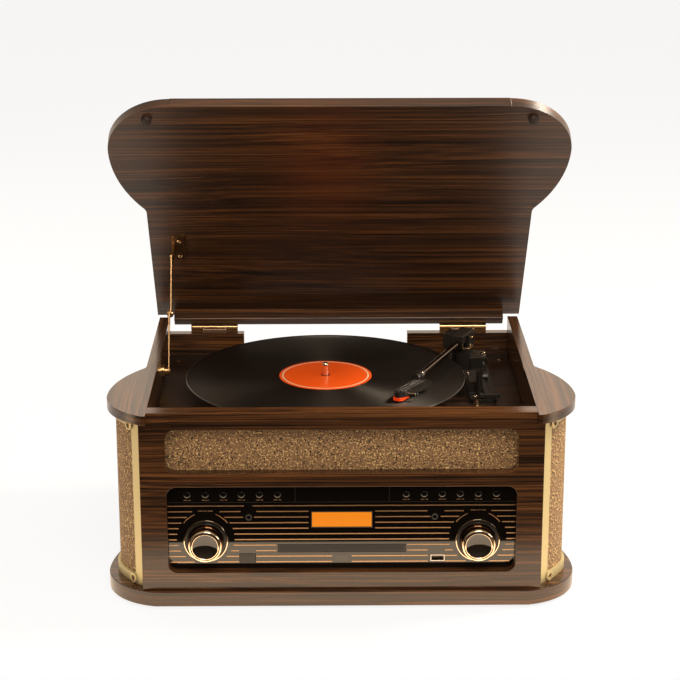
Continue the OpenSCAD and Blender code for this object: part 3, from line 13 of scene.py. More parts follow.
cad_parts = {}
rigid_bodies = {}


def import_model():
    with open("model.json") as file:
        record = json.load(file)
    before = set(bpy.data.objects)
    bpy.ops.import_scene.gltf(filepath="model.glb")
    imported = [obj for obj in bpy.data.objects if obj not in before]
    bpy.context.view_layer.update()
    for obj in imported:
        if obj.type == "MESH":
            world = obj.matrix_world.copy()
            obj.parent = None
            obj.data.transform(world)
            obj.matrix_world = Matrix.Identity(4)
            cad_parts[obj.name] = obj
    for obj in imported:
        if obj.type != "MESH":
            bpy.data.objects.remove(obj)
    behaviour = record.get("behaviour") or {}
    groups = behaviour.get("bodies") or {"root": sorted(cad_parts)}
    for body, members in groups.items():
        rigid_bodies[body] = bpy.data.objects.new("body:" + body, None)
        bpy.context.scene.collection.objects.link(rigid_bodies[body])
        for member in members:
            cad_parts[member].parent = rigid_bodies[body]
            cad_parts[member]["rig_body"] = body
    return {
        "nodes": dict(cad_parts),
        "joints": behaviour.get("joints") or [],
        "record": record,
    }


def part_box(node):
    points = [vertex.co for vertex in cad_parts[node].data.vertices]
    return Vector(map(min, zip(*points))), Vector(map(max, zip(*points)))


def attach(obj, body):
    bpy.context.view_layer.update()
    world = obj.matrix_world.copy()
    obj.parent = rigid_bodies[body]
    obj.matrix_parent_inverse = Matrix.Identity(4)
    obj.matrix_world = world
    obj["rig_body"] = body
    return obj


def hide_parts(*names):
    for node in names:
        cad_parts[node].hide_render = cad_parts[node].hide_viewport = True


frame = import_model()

bl_info = {
    "name": "Wooden Record Player",
    "version": (1, 0, 0),
    "blender": (4, 5, 0),
    "location": "View3D > Sidebar > Record Player",
    "description": "Dresses a wooden record player with its finishes, trim and small pieces",
    "category": "Add Mesh",
}

MM = 0.001
CLOSE = 0.0005 * MM
Y = Vector((0, 1, 0))
Z = Vector((0, 0, 1))
BLACK = (0, 0, 0)
WHITE = (1, 1, 1)
JOINTS = {joint["name"]: joint for joint in frame["joints"]}
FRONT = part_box("front_panel")[0].y
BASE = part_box("front_panel")[0].z
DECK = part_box("deck_board")[1].z
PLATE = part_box("disc_tray")[0].y
PLATE_Y = (PLATE - FRONT) / MM
OPEN_ANGLE = math.radians(-JOINTS["lid_hinge"]["range_deg"][0])
LID = Matrix.Translation(JOINTS["lid_hinge"]["pos_m"]) @ Matrix.Rotation(-OPEN_ANGLE, 4, "X")
SPINDLE = Vector(JOINTS["platter_spin"]["pos_m"])
ARM_PIVOT = Vector(JOINTS["arm_swing"]["pos_m"])


def linear(red, green, blue):
    """A colour as the eye names it, from 0 to 255, as the shader's own linear values."""
    def channel(value):
        value /= 255
        return value / 12.92 if value <= 0.04045 else ((value + 0.055) / 1.055) ** 2.4
    return channel(red), channel(green), channel(blue)


def at(x, y, z):
    """A place in millimetres: right of the middle, behind the front face and above the plinth."""
    return Vector((x * MM, FRONT + y * MM, BASE + z * MM))


def mm(x, y, z):
    """A place or an offset in millimetres."""
    return Vector((x, y, z)) * MM


def plate_centre(name):
    """Where a piece's own axis meets the face of the control plate."""
    low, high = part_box(name)
    return Vector(((low.x + high.x) / 2, PLATE, (low.z + high.z) / 2))


def mount_places(ending):
    """The places of the record's mounts whose names end alike."""
    return [Vector(mount["pos_m"]) for mount in frame["record"]["mounts"] if mount["name"].endswith(ending)]


def colour(name, default, description):
    return bpy.props.FloatVectorProperty(
        name=name, default=default, description=description, size=3, min=0, max=1, subtype="COLOR"
    )


def size(name, default, description):
    return bpy.props.FloatProperty(
        name=name, default=default * MM, description=description, min=0, unit="LENGTH", precision=5
    )


class RecordPlayerSizes(bpy.types.PropertyGroup):
    """Sizes of the trim that a user may change."""

    board_round: size("Board rounding", 0.9, "Rounding of the wooden boards' edges")
    trim_round: size("Trim rounding", 0.35, "Rounding of the metal trim's edges")
    line_width: size("Line width", 1.05, "Width of the copper lines on the control plate")
    line_lift: size("Line thickness", 0.08, "How far the lines stand out of the control plate")
    line_pitch: size("Line pitch", 6.14, "Spacing of the copper lines")
    line_top: size("Top line", 88.0, "Height of the top copper line above the plinth")
    cloth_thread: size("Thread width", 0.9, "Width of one thread of the speaker cloth")
    # The dark flecks are painted shadows of the light ones
    cloth_fleck: size("Fleck spacing", 2.9, "Spacing of the light and dark flecks in the speaker cloth")
    groove_pitch: size("Groove pitch", 0.55, "Spacing of the record's grooves as drawn")


class RecordPlayerColours(bpy.types.PropertyGroup):
    """Colours that a user may change."""

    walnut_dark: colour("Walnut dark", linear(28, 17, 9), "Dark streaks of the walnut print")
    walnut_mid: colour("Walnut", linear(58, 35, 19), "Ground colour of the walnut print")
    walnut_light: colour("Walnut light", linear(106, 66, 34), "Light streaks of the walnut print")
    # Painted shadow: the dark flecks lie beside the light ones as their shade
    cloth_fleck_shadow: colour("Cloth fleck shadow", linear(26, 13, 6), "Dark flecks of the speaker cloth")
    cloth_mid: colour("Cloth", linear(142, 107, 72), "Ground colour of the speaker cloth")
    cloth_light: colour("Cloth light", linear(222, 186, 124), "Light flecks of the speaker cloth")
    gilt: colour("Gilt", linear(198, 182, 134), "The frames round the speakers")
    brass: colour("Brass", linear(214, 174, 124), "Hinges, stay and screws")
    copper: colour("Copper", linear(176, 142, 108), "Lines on the control plate")
    amber: colour("Amber", linear(240, 130, 0), "The lit display")
    label: colour("Label", linear(242, 88, 18), "The record's label")
    stylus: colour("Stylus", linear(255, 74, 20), "The stylus holder")


def sizes():
    return bpy.context.scene.record_player_sizes


def colours():
    return bpy.context.scene.record_player_colours


# Shared effects as node groups

def put(tree, socket, value):
    """Feeds a socket: another socket is wired to it, and a colour of three values gets its alpha."""
    if isinstance(value, bpy.types.NodeSocket):
        tree.links.new(value, socket)
    elif socket.type == "RGBA" and len(value) == 3:
        socket.default_value = (*value, 1)
    else:
        socket.default_value = value


def feed(tree, target, values):
    """Feeds a node's inputs by name."""
    for name, value in values.items():
        put(tree, target.inputs[name], value)


def node(tree, kind, **values):
    """Adds a node; values that name an input feed it, and the rest set properties."""
    added = tree.nodes.new(kind)
    for name, value in values.items():
        if name in added.inputs:
            put(tree, added.inputs[name], value)
        else:
            setattr(added, name, value)
    return added


def new_group(name, inputs, outputs):
    """An empty node group with its sockets, given as name and kind."""
    group = bpy.data.node_groups.new(name, "ShaderNodeTree")
    for direction, sockets in (("INPUT", inputs), ("OUTPUT", outputs)):
        for label, kind in sockets.items():
            group.interface.new_socket(label, in_out=direction, socket_type=f"NodeSocket{kind}")
    return group, group.nodes.new("NodeGroupInput").outputs, group.nodes.new("NodeGroupOutput").inputs


def ramp(tree, factor, *stops):
    """A colour ramp through (position, colour) stops."""
    made = node(tree, "ShaderNodeValToRGB", Fac=factor)
    elements = made.color_ramp.elements
    while len(elements) < len(stops):
        elements.new(0.5)
    for element, (position, shade) in zip(elements, stops):
        element.position = position
        element.color = (*shade, 1)
    return made.outputs["Color"]


def noise(tree, vector, scale=1.0, detail=4.0, roughness=0.55, distortion=0.0):
    return node(tree, "ShaderNodeTexNoise", Vector=vector, Scale=scale, Detail=detail, Roughness=roughness,
                Distortion=distortion).outputs["Fac"]


def stretched_noise(tree, vector, stretch, detail, roughness=0.55, distortion=0.0):
    mapping = node(tree, "ShaderNodeMapping", Vector=vector, Scale=stretch)
    return noise(tree, mapping.outputs["Vector"], 1.0, detail, roughness, distortion)


def maths(tree, operation, first, second=0.0):
    made = node(tree, "ShaderNodeMath", operation=operation)
    put(tree, made.inputs[0], first)
    put(tree, made.inputs[1], second)
    return made.outputs[0]


def scaled(tree, value, factor, offset=0.0):
    return maths(tree, "ADD", maths(tree, "MULTIPLY", value, factor), offset)


def from_middle(tree, value, factor):
    """How far a mask lies from its middle, times a factor."""
    return maths(tree, "MULTIPLY", maths(tree, "SUBTRACT", value, 0.5), factor)


def vector_maths(tree, operation, first, second):
    made = node(tree, "ShaderNodeVectorMath", operation=operation)
    put(tree, made.inputs[0], first)
    put(tree, made.inputs[1], second)
    return made.outputs["Vector"]


def mixed(tree, factor, first, second, blend="MIX"):
    made = node(tree, "ShaderNodeMix", data_type="RGBA", blend_type=blend)
    for name, value in (("Factor", factor), ("A", first), ("B", second)):
        put(tree, next(s for s in made.inputs if s.name == name and s.enabled), value)
    return next(s for s in made.outputs if s.enabled)


def part_of(tree, vector, axis):
    return node(tree, "ShaderNodeSeparateXYZ", Vector=vector).outputs[axis]


def walnut_group():
    """Streaked walnut print along local X, whose lines run level round the boards' edges."""
    group, entry, leave = new_group(
        "Walnut print",
        {"Vector": "Vector", "Face": "Float", "Dark": "Color", "Middle": "Color", "Light": "Color"},
        {"Color": "Color", "Height": "Float", "Roughness": "Float"},
    )
    edge_squeeze = 0.03
    wander = 0.022
    squeeze = node(group, "ShaderNodeCombineXYZ", X=1.0, Z=1.0)
    put(group, squeeze.inputs["Y"], maths(group, "MAXIMUM", entry["Face"], edge_squeeze))
    wrapped = vector_maths(group, "MULTIPLY", entry["Vector"], squeeze.outputs["Vector"])
    bend = stretched_noise(group, wrapped, (2.2, 7.0, 7.0), 1.5)
    shift = from_middle(group, bend, wander)
    offset = node(group, "ShaderNodeCombineXYZ", Y=shift, Z=shift)
    vector = vector_maths(group, "ADD", wrapped, offset.outputs["Vector"])
    bands = stretched_noise(group, vector, (1.5, 90, 90), 3.0, distortion=0.15)
    streaks = stretched_noise(group, vector, (3.0, 520, 520), 3.0, roughness=0.6)
    pores = stretched_noise(group, vector, (24, 1500, 1500), 2.0)
    grain = scaled(group, bands, 0.34, maths(group, "MULTIPLY", streaks, 0.66))
    grain = maths(group, "ADD", grain, from_middle(group, pores, 0.16))
    low = ramp(group, grain, (0.38, BLACK), (0.5, WHITE))
    high = ramp(group, grain, (0.5, BLACK), (0.64, WHITE))
    ground = mixed(group, low, entry["Dark"], entry["Middle"])
    put(group, leave["Color"], mixed(group, high, ground, entry["Light"]))
    put(group, leave["Height"], grain)
    put(group, leave["Roughness"], scaled(group, grain, -0.12, 0.27))
    return group


def weave_group():
    """A fine weave with looped flecks: some are light, some dark as painted shadows shifted beside the light
    ones, and the rest is the ground.
    """
    group, entry, leave = new_group(
        "Woven cloth",
        {"Vector": "Vector", "Threads": "Float", "Flecks": "Float", "Dark": "Color", "Middle": "Color",
         "Light": "Color"},
        {"Color": "Color", "Height": "Float"},
    )
    masks = []
    # The second pass, shifted 1.2 mm, repeats the light flecks as dark ones: painted shadows beside them
    for shift in (0.0, 0.0012):
        moved = node(group, "ShaderNodeMapping", Vector=entry["Vector"], Location=(shift, shift, shift))
        threads = noise(group, moved.outputs["Vector"], entry["Flecks"], detail=0.0)
        ridge = maths(group, "ABSOLUTE", maths(group, "SUBTRACT", threads, 0.5))
        line = ramp(group, ridge, (0.05, WHITE), (0.09, BLACK))
        gap_scale = maths(group, "MULTIPLY", entry["Flecks"], 1.6)
        gaps = noise(group, moved.outputs["Vector"], gap_scale, detail=0.0)
        masks.append(maths(group, "MULTIPLY", line, ramp(group, gaps, (0.53, BLACK), (0.57, WHITE))))
    light, dark = masks
    thread = node(group, "ShaderNodeTexVoronoi", Vector=entry["Vector"], Scale=entry["Threads"],
                  Randomness=0.8)
    tone = node(group, "ShaderNodeSeparateColor", Color=thread.outputs["Color"]).outputs["Red"]
    tint = ramp(group, tone, (0.0, (0.7, 0.7, 0.7)), (1.0, (1.1, 1.1, 1.1)))
    ground = mixed(group, 1.0, entry["Middle"], tint, "MULTIPLY")
    shade = mixed(group, light, mixed(group, dark, ground, entry["Dark"]), entry["Light"])
    put(group, leave["Color"], shade)
    put(group, leave["Height"], scaled(group, light, 1.5, thread.outputs["Distance"]))
    return group


def wear_group():
    """Fine wear as one mask round 0.5."""
    group, entry, leave = new_group("Fine wear", {"Vector": "Vector", "Scale": "Float"}, {"Mask": "Float"})
    put(group, leave["Mask"], noise(group, entry["Vector"], entry["Scale"], 5.0, 0.5))
    return group


def grouped(tree, name, maker, values):
    """Places a shared group with its own values; the group is built the first time it is asked for."""
    placed = node(tree, "ShaderNodeGroup")
    placed.node_tree = bpy.data.node_groups.get(name) or maker()
    feed(tree, placed, values)
    return placed.outputs


# Materials

def blank(name):
    """A new material with its tree, shader and object coordinates."""
    made = bpy.data.materials.new(name)
    made.use_nodes = True
    tree = made.node_tree
    return made, tree, tree.nodes["Principled BSDF"], node(tree, "ShaderNodeTexCoord").outputs["Object"]


def bump(tree, height, strength, distance):
    made = node(tree, "ShaderNodeBump", Strength=strength, Distance=distance, Height=height)
    return made.outputs["Normal"]


def walnut(name, turn, depth=1.0, dull=0.0):
    """Walnut print under a satin lacquer; turn brings its grain to X and the board's face to Z. A depth below
    1 darkens every tone, as painted shade for a board that stands in shadow.
    """
    made, tree, shader, coordinates = blank(name)
    level = 0.6
    normal = node(tree, "ShaderNodeTexCoord").outputs["Normal"]
    facing = node(tree, "ShaderNodeMapping", vector_type="NORMAL", Vector=normal, Rotation=turn)
    upright = part_of(tree, facing.outputs["Vector"], "Z")
    mapping = node(tree, "ShaderNodeMapping", Vector=coordinates, Rotation=turn)
    tones = {"Dark": colours().walnut_dark, "Middle": colours().walnut_mid, "Light": colours().walnut_light}
    grain = grouped(tree, "Walnut print", walnut_group, {
        "Vector": mapping.outputs["Vector"],
        "Face": maths(tree, "GREATER_THAN", maths(tree, "ABSOLUTE", upright), level),
        # depth darkens the tones: painted shade, used for the deck under the lid
        **{label: tuple(channel * depth for channel in tone) for label, tone in tones.items()},
    })
    feed(tree, shader, {
        "Base Color": grain["Color"],
        "Roughness": maths(tree, "ADD", grain["Roughness"], dull),
        "Normal": bump(tree, grain["Height"], 0.12, 0.0004),
    })
    return made


def cloth(name):
    """Speaker cloth of mixed brown and gold threads, with dark flecks painted as shadows beside the gold
    ones.
    """
    made, tree, shader, coordinates = blank(name)
    tones = colours()
    weave = grouped(tree, "Woven cloth", weave_group, {
        "Vector": coordinates,
        "Threads": 1 / sizes().cloth_thread,
        "Flecks": 1 / sizes().cloth_fleck,
        # The dark flecks' colour is painted shadow
        "Dark": tones.cloth_fleck_shadow,
        "Middle": tones.cloth_mid,
        "Light": tones.cloth_light,
    })
    feed(tree, shader, {
        "Base Color": weave["Color"],
        "Roughness": 0.75,
        "Sheen Weight": 0.12,
        "Sheen Tint": tones.cloth_light,
        "Normal": bump(tree, weave["Height"], 0.6, 0.0005),
    })
    return made


def worn(name, base, metallic, roughness, spread=0.08, scale=240.0, ior=1.5, relief=0.03):
    """A hard finish whose gloss and relief vary finely."""
    made, tree, shader, coordinates = blank(name)
    worn_shade = 0.86
    mask = grouped(tree, "Fine wear", wear_group, {"Vector": coordinates, "Scale": scale})["Mask"]
    feed(tree, shader, {
        "Base Color": mixed(tree, mask, tuple(channel * worn_shade for channel in base), tuple(base)),
        "Roughness": maths(tree, "ADD", from_middle(tree, mask, spread), roughness),
        "Metallic": metallic,
        "IOR": ior,
    })
    if relief:
        put(tree, shader.inputs["Normal"], bump(tree, mask, relief, 0.0003))
    return made


def radius_from(tree, coordinates, centre):
    """Distance of each point from an upright axis."""
    moved = node(tree, "ShaderNodeMapping", Vector=coordinates, Location=(-centre.x, -centre.y, 0))
    flat = vector_maths(tree, "MULTIPLY", moved.outputs["Vector"], (1, 1, 0))
    return node(tree, "ShaderNodeVectorMath", operation="LENGTH", Vector=flat).outputs["Value"]


def vinyl(name):
    """Black vinyl whose grooves ring the spindle, with wider gaps between the tracks."""
    made, tree, shader, coordinates = blank(name)
    radius = radius_from(tree, coordinates, SPINDLE)
    ring = node(tree, "ShaderNodeCombineXYZ", X=radius)
    tracks = noise(tree, ring.outputs["Vector"], 260.0, 6.0, 0.8)
    turns = maths(tree, "SINE", maths(tree, "MULTIPLY", radius, 2 * math.pi / sizes().groove_pitch))
    feed(tree, shader, {
        "Base Color": ramp(tree, tracks, (0.3, (0.002, 0.0017, 0.0015)), (0.7, (0.008, 0.007, 0.006))),
        "Roughness": scaled(tree, tracks, 0.16, 0.33),
        "Specular Tint": (1.0, 0.86, 0.72),
        "Anisotropic": 0.9,
        "Anisotropic Rotation": 0.25,
        "Coat Weight": 0.2,
        "Coat Roughness": 0.08,
        "Tangent": node(tree, "ShaderNodeTangent", direction_type="RADIAL", axis="Z").outputs["Tangent"],
        "Normal": bump(tree, scaled(tree, turns, 0.25, tracks), 0.05, 0.0002),
    })
    return made


def label_paper(name):
    """Printed paper: orange-red with a cream ring, a darker centre ring and faint fibres."""
    made, tree, shader, coordinates = blank(name)
    tone = tuple(colours().label)
    cream = linear(236, 214, 176)
    dark = linear(120, 34, 10)
    rings = ((0.0, dark), (0.0052, dark), (0.0053, tone), (0.0452, tone), (0.0455, cream), (0.0468, cream),
             (0.0471, tone))
    reach = 0.06
    share = maths(tree, "DIVIDE", radius_from(tree, coordinates, SPINDLE), reach)
    bands = ramp(tree, share, *((place / reach, shade) for place, shade in rings))
    fibres = noise(tree, coordinates, 900.0, 3.0)
    pressed = tuple(channel * 0.8 for channel in tone)
    feed(tree, shader, {
        "Base Color": mixed(tree, maths(tree, "MULTIPLY", fibres, 0.2), bands, pressed),
        "Roughness": 0.4,
        "Normal": bump(tree, fibres, 0.05, 0.0001),
    })
    return made


def lit_window(name):
    """The amber display, lit almost evenly."""
    made, tree, shader, coordinates = blank(name)
    glow = noise(tree, coordinates, 30.0, 1.0)
    feed(tree, shader, {
        "Base Color": (0.05, 0.02, 0.002),
        "Emission Color": mixed(tree, maths(tree, "MULTIPLY", glow, 0.3), tuple(colours().amber),
                                linear(242, 138, 4)),
        "Emission Strength": 0.95,
        "Roughness": 0.3,
    })
    return made


def circuit_green(name):
    """A green board whose sockets, which reach through the back panel, are black."""
    made = worn(name, linear(28, 84, 48), 0.0, 0.4, 0.1, 300.0)
    tree = made.node_tree
    socket = tree.nodes["Principled BSDF"].inputs["Base Color"]
    depth = part_of(tree, node(tree, "ShaderNodeTexCoord").outputs["Object"], "Y")
    through = maths(tree, "GREATER_THAN", depth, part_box("back_panel")[0].y)
    put(tree, socket, mixed(tree, through, socket.links[0].from_socket, linear(20, 17, 15)))
    return made


# Colour, metallic, roughness, its spread, the scale of the wear, and where they differ, the IOR and relief

HARD_FINISHES = {
    "gilt": ("gilt", 0.45, 0.46, 0.12, 420.0),
    "brass": ("brass", 1.0, 0.22, 0.14, 500.0),
    "copper": ("copper", 1.0, 0.34, 0.1, 600.0),
    "piano_black": ((12, 8, 5), 0.0, 0.04, 0.02, 60.0, 1.58, 0),
    "satin_black": ((30, 26, 22), 0.0, 0.34, 0.12, 700.0),
    "matt_black": ((24, 22, 20), 0.0, 0.7, 0.1, 900.0),
    "steel": ((196, 192, 186), 1.0, 0.26, 0.12, 500.0),
    "chrome": ((236, 214, 184), 1.0, 0.07, 0.03, 200.0, 1.5, 0),
    "bronze_chrome": ((110, 82, 58), 1.0, 0.12, 0.04, 200.0, 1.5, 0),
    "smoked_cap": ((30, 24, 18), 0.0, 0.05, 0.02, 120.0, 1.6, 0),
    "stylus": ("stylus", 0.0, 0.22, 0.06, 300.0),
    "dark_rubber": ((40, 26, 18), 0.0, 0.6, 0.15, 900.0, 1.5, 0.2),
    "tube_metal": ((92, 78, 64), 1.0, 0.16, 0.05, 400.0),
    "cone_paper": ((34, 32, 30), 0.0, 0.8, 0.1, 1200.0, 1.5, 0.2),
    "red_plastic": ((176, 22, 18), 0.0, 0.35, 0.08, 300.0),
    "white_plastic": ((228, 226, 220), 0.0, 0.35, 0.08, 300.0),
}
QUARTER = math.pi / 2
# Turn, a darkening factor and added roughness; the deck's factor of 0.35 is painted shade for the shadow of
# the lid and walls
WALNUT_FINISHES = {
    "walnut_x": ((0, 0, 0),),
    "walnut_y": ((0, 0, QUARTER),),
    "walnut_front": ((QUARTER, 0, 0),),
    "walnut_side": ((0, QUARTER, QUARTER),),
    "walnut_lid": ((-LID.to_euler().x, 0, 0), 1.0, 0.14),
    "walnut_deck": ((0, 0, 0), 0.35, 0.2),
}
OTHER_FINISHES = {"woven_cloth": cloth, "vinyl": vinyl, "label_paper": label_paper, "amber": lit_window,
                  "circuit_green": circuit_green}


def material(name):
    """A material by name, made the first time it is asked for."""
    found = bpy.data.materials.get(name)
    if found:
        return found
    if name in WALNUT_FINISHES:
        return walnut(name, *WALNUT_FINISHES[name])
    if name in OTHER_FINISHES:
        return OTHER_FINISHES[name](name)
    base, *values = HARD_FINISHES[name]
    return worn(name, getattr(colours(), base) if isinstance(base, str) else linear(*base), *values)


# Shaping shared by the pieces

def piece(name, mesh, body, finishes, smooth=50.0, replaces=()):
    """Turns a bmesh into an object that rides on a body and takes its finishes in order."""
    data = bpy.data.meshes.new(name)
    mesh.to_mesh(data)
    mesh.free()
    data.shade_smooth()
    data.set_sharp_from_angle(angle=math.radians(smooth))
    for finish in finishes:
        data.materials.append(material(finish))
    made = bpy.data.objects.new(name, data)
    bpy.context.scene.collection.objects.link(made)
    made.modifiers.new("Flat faces", "WEIGHTED_NORMAL").keep_sharp = True
    shaded = made.evaluated_get(bpy.context.evaluated_depsgraph_get())
    made.data = bpy.data.meshes.new_from_object(shaded)
    made.modifiers.clear()
    bpy.data.meshes.remove(data)
    made.data.name = name
    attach(made, body)
    if replaces:
        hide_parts(*replaces)
    return made


def body_of(name):
    return frame["nodes"][name]["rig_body"]


def merged_copy(name):
    """A bmesh of a construction piece with its triangles joined into flat faces."""
    mesh = bmesh.new()
    mesh.from_mesh(frame["nodes"][name].data)
    bmesh.ops.remove_doubles(mesh, verts=mesh.verts, dist=0.002 * MM)
    bmesh.ops.dissolve_limit(mesh, angle_limit=math.radians(0.3), verts=mesh.verts, edges=mesh.edges)
    return mesh


def round_edges(mesh, edges, width, segments=2):
    bmesh.ops.bevel(
        mesh, geom=edges, offset=width, offset_type="OFFSET", segments=segments, profile=0.5,
        affect="EDGES", clamp_overlap=True, material=-1,
    )


def sharp_edges(mesh):
    limit = math.radians(35)
    return [edge for edge in mesh.edges if len(edge.link_faces) == 2 and edge.calc_face_angle(0) > limit]


def dressed(name, finish, width, segments=2, smooth=20.0):
    """A construction piece with its sharp edges rounded, which stands for the plain one."""
    mesh = merged_copy(name)
    round_edges(mesh, sharp_edges(mesh), width, segments)
    return piece(f"{name}_finished", mesh, body_of(name), [finish], smooth, (name,))


def painted(finish, *names):
    """Gives construction pieces their finish as they are."""
    for name in names:
        data = frame["nodes"][name].data
        data.materials.clear()
        data.materials.append(material(finish))


def block(mesh, low, high, width=0.0, finish=0, segments=2, matrix=None):
    """Adds a box between two corners, its edges rounded, in an optional frame of its own."""
    before = set(mesh.faces)
    made = bmesh.ops.create_cube(mesh, size=1.0)
    bmesh.ops.scale(mesh, verts=made["verts"], vec=high - low)
    bmesh.ops.translate(mesh, verts=made["verts"], vec=(low + high) / 2)
    if width:
        edges = dict.fromkeys(edge for face in faces_since(mesh, before) for edge in face.edges)
        round_edges(mesh, list(edges), width, segments)
    tinted(mesh, faces_since(mesh, before), finish, matrix)


def faces_since(mesh, before):
    """The faces that weren't there before, in their order."""
    return [face for face in mesh.faces if face not in before]


def verts_of(faces):
    """The corners of some faces, each once and in order."""
    return list(dict.fromkeys(vert for face in faces for vert in face.verts))


def tinted(mesh, faces, finish, matrix=None):
    """Gives new faces their finish and moves them out of a frame of their own."""
    for face in faces:
        face.material_index = finish
    if matrix is not None:
        bmesh.ops.transform(mesh, matrix=matrix, verts=verts_of(faces))


def turned(mesh, profile, centre, axis, steps=48, finish=0, matrix=None):
    """Spins a profile of (radius, height) in millimetres round an axis."""
    before = set(mesh.faces)
    side = axis.orthogonal().normalized()
    verts = [mesh.verts.new(centre + (side * radius + axis * height) * MM) for radius, height in profile]
    edges = [mesh.edges.new(pair) for pair in zip(verts, verts[1:])]
    bmesh.ops.spin(
        mesh, geom=verts + edges, cent=centre, axis=axis, dvec=(0, 0, 0), angle=2 * math.pi, steps=steps,
        use_merge=True, use_normal_flip=False, use_duplicate=False,
    )
    bmesh.ops.remove_doubles(mesh, verts=verts_of(faces_since(mesh, before)), dist=CLOSE)
    faces = faces_since(mesh, before)
    bmesh.ops.recalc_face_normals(mesh, faces=faces)
    tinted(mesh, faces, finish, matrix)


def rod(mesh, start, end, radius, segments, tip, matrix=None):
    """Adds a closed round rod between two points, radius in millimetres, with rounded tips."""
    axis = (end - start).normalized()
    length = (end - start).length / MM
    tip = min(tip, radius * 0.95, length / 2)
    profile = [(0, 0), (radius - tip, 0), (radius - tip * 0.3, tip * 0.3), (radius, tip)]
    ends = [(reach, length - height) for reach, height in reversed(profile)]
    turned(mesh, profile + ends, start, axis, segments, 0, matrix)


def screw_head(mesh, centre, normal, radius):
    """A domed screw head in the first finish, standing on a surface; its cross in the second finish is
    painted shade for the cross recess.
    """
    dome = [(0, 0.25), (radius * 0.3, 0.24), (radius * 0.62, 0.62), (radius * 0.86, 0.42), (radius, 0.05),
            (radius, -0.3), (0, -0.3)]
    turned(mesh, dome, centre, normal, 24)
    side = normal.orthogonal().normalized()
    other = normal.cross(side)
    turn = Matrix((side, other, normal)).transposed().to_4x4()
    turn.translation = centre
    arm = radius * 0.58
    thin = radius * 0.11
    bottom, top = 0.2, 0.42
    # Matt black cross: painted shade for the recess of a cross-head screw
    for across, along in ((arm, thin), (thin, arm)):
        block(mesh, mm(-across, -along, bottom), mm(across, along, top), 0, 1, 1, turn)


# The pieces

class RECORDPLAYER_OT_case(bpy.types.Operator):
    """Rounds and finishes the wooden boards and turns the rubber feet"""

    bl_idname = "record_player.case"
    bl_label = "Wooden Case"

    # The deck takes a darker copy of the walnut: painted shade for its shadow under the lid
    BOARDS = {"plinth": "walnut_x", "front_panel": "walnut_front", "back_panel": "walnut_front",
              "deck_board": "walnut_deck", "left_wall": "walnut_side", "right_wall": "walnut_side",
              "left_top_board": "walnut_y", "right_top_board": "walnut_y"}
    FRONT_ROUND = 1.5
    FOOT_RADIUS = 12.0

    def execute(self, context):
        for name, finish in self.BOARDS.items():
            share = self.FRONT_ROUND if name == "front_panel" else 1.0
            dressed(name, finish, sizes().board_round * share)
        self.feet()
        return {"FINISHED"}

    def feet(self):
        """Four feet, each with a ring and a hollow underneath."""
        low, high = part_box("feet")
        radius = self.FOOT_RADIUS
        height = (high.z - low.z) / MM
        profile = [(0, height), (radius, height), (radius, 0.8), (radius - 0.8, 0), (7.5, 0), (6.8, 0.9),
                   (3.4, 0.9), (3.2, 1.6), (0, 1.6)]
        mesh = bmesh.new()
        for x in (low.x + radius * MM, high.x - radius * MM):
            for y in (low.y + radius * MM, high.y - radius * MM):
                turned(mesh, profile, Vector((x, y, low.z)), Z)
        piece("rubber_feet", mesh, "root", ["matt_black"], replaces=("feet",))


class RECORDPLAYER_OT_speakers(bpy.types.Operator):
    """Finishes the gilt frames, the woven cloth and the drivers behind it"""

    bl_idname = "record_player.speakers"
    bl_label = "Speaker Ends"

    CAP_AREA = 4.0
    CAP_CORNERS = 8
    DOME_RADIUS = 4.3
    DOME_RISE = 1.6
    DOME_SINK = 0.5
    CROSS = ((1.8, 0.5), (0.5, 1.8))

    def execute(self, context):
        for side in ("left", "right"):
            dressed(f"{side}_speaker_frame", "gilt", sizes().trim_round, smooth=35.0)
            painted("woven_cloth", f"{side}_speaker_cloth")
            painted("cone_paper", f"{side}_driver")
        painted("woven_cloth", "grille_cloth")
        painted("brass", "screws")
        self.domes()
        return {"FINISHED"}

    def domes(self):
        """A shallow dome over each screw of the frames, with a matt black cross as painted shade for its
        cross recess.
        """
        screws = merged_copy("screws")
        screws.faces.ensure_lookup_table()
        level = Vector((1, 1, 0))
        caps = [face for face in screws.faces if face.calc_area() > self.CAP_AREA * MM * MM
                and len(face.verts) > self.CAP_CORNERS
                and face.normal.dot(face.calc_center_median() * level) > 0]
        domes = bmesh.new()
        profile = [(self.DOME_RADIUS * math.cos(angle), self.DOME_RISE * math.sin(angle) - self.DOME_SINK)
                   for angle in (math.radians(9 * step) for step in range(11))]
        for cap in caps:
            centre = cap.calc_center_median()
            turned(domes, [(self.DOME_RADIUS, -1.0)] + profile, centre, cap.normal, 28)
            top = cap.normal.to_track_quat("Z", "Y").to_matrix().to_4x4()
            top.translation = centre + cap.normal * (self.DOME_RISE - self.DOME_SINK) * MM
            # The black cross is painted shade for the recess
            for long, wide in self.CROSS:
                block(domes, mm(-long, -wide, -0.4), mm(long, wide, 0.06), 0, 1, 1, top)
        piece("screw_domes", domes, "root", ["brass", "matt_black"], 50.0)


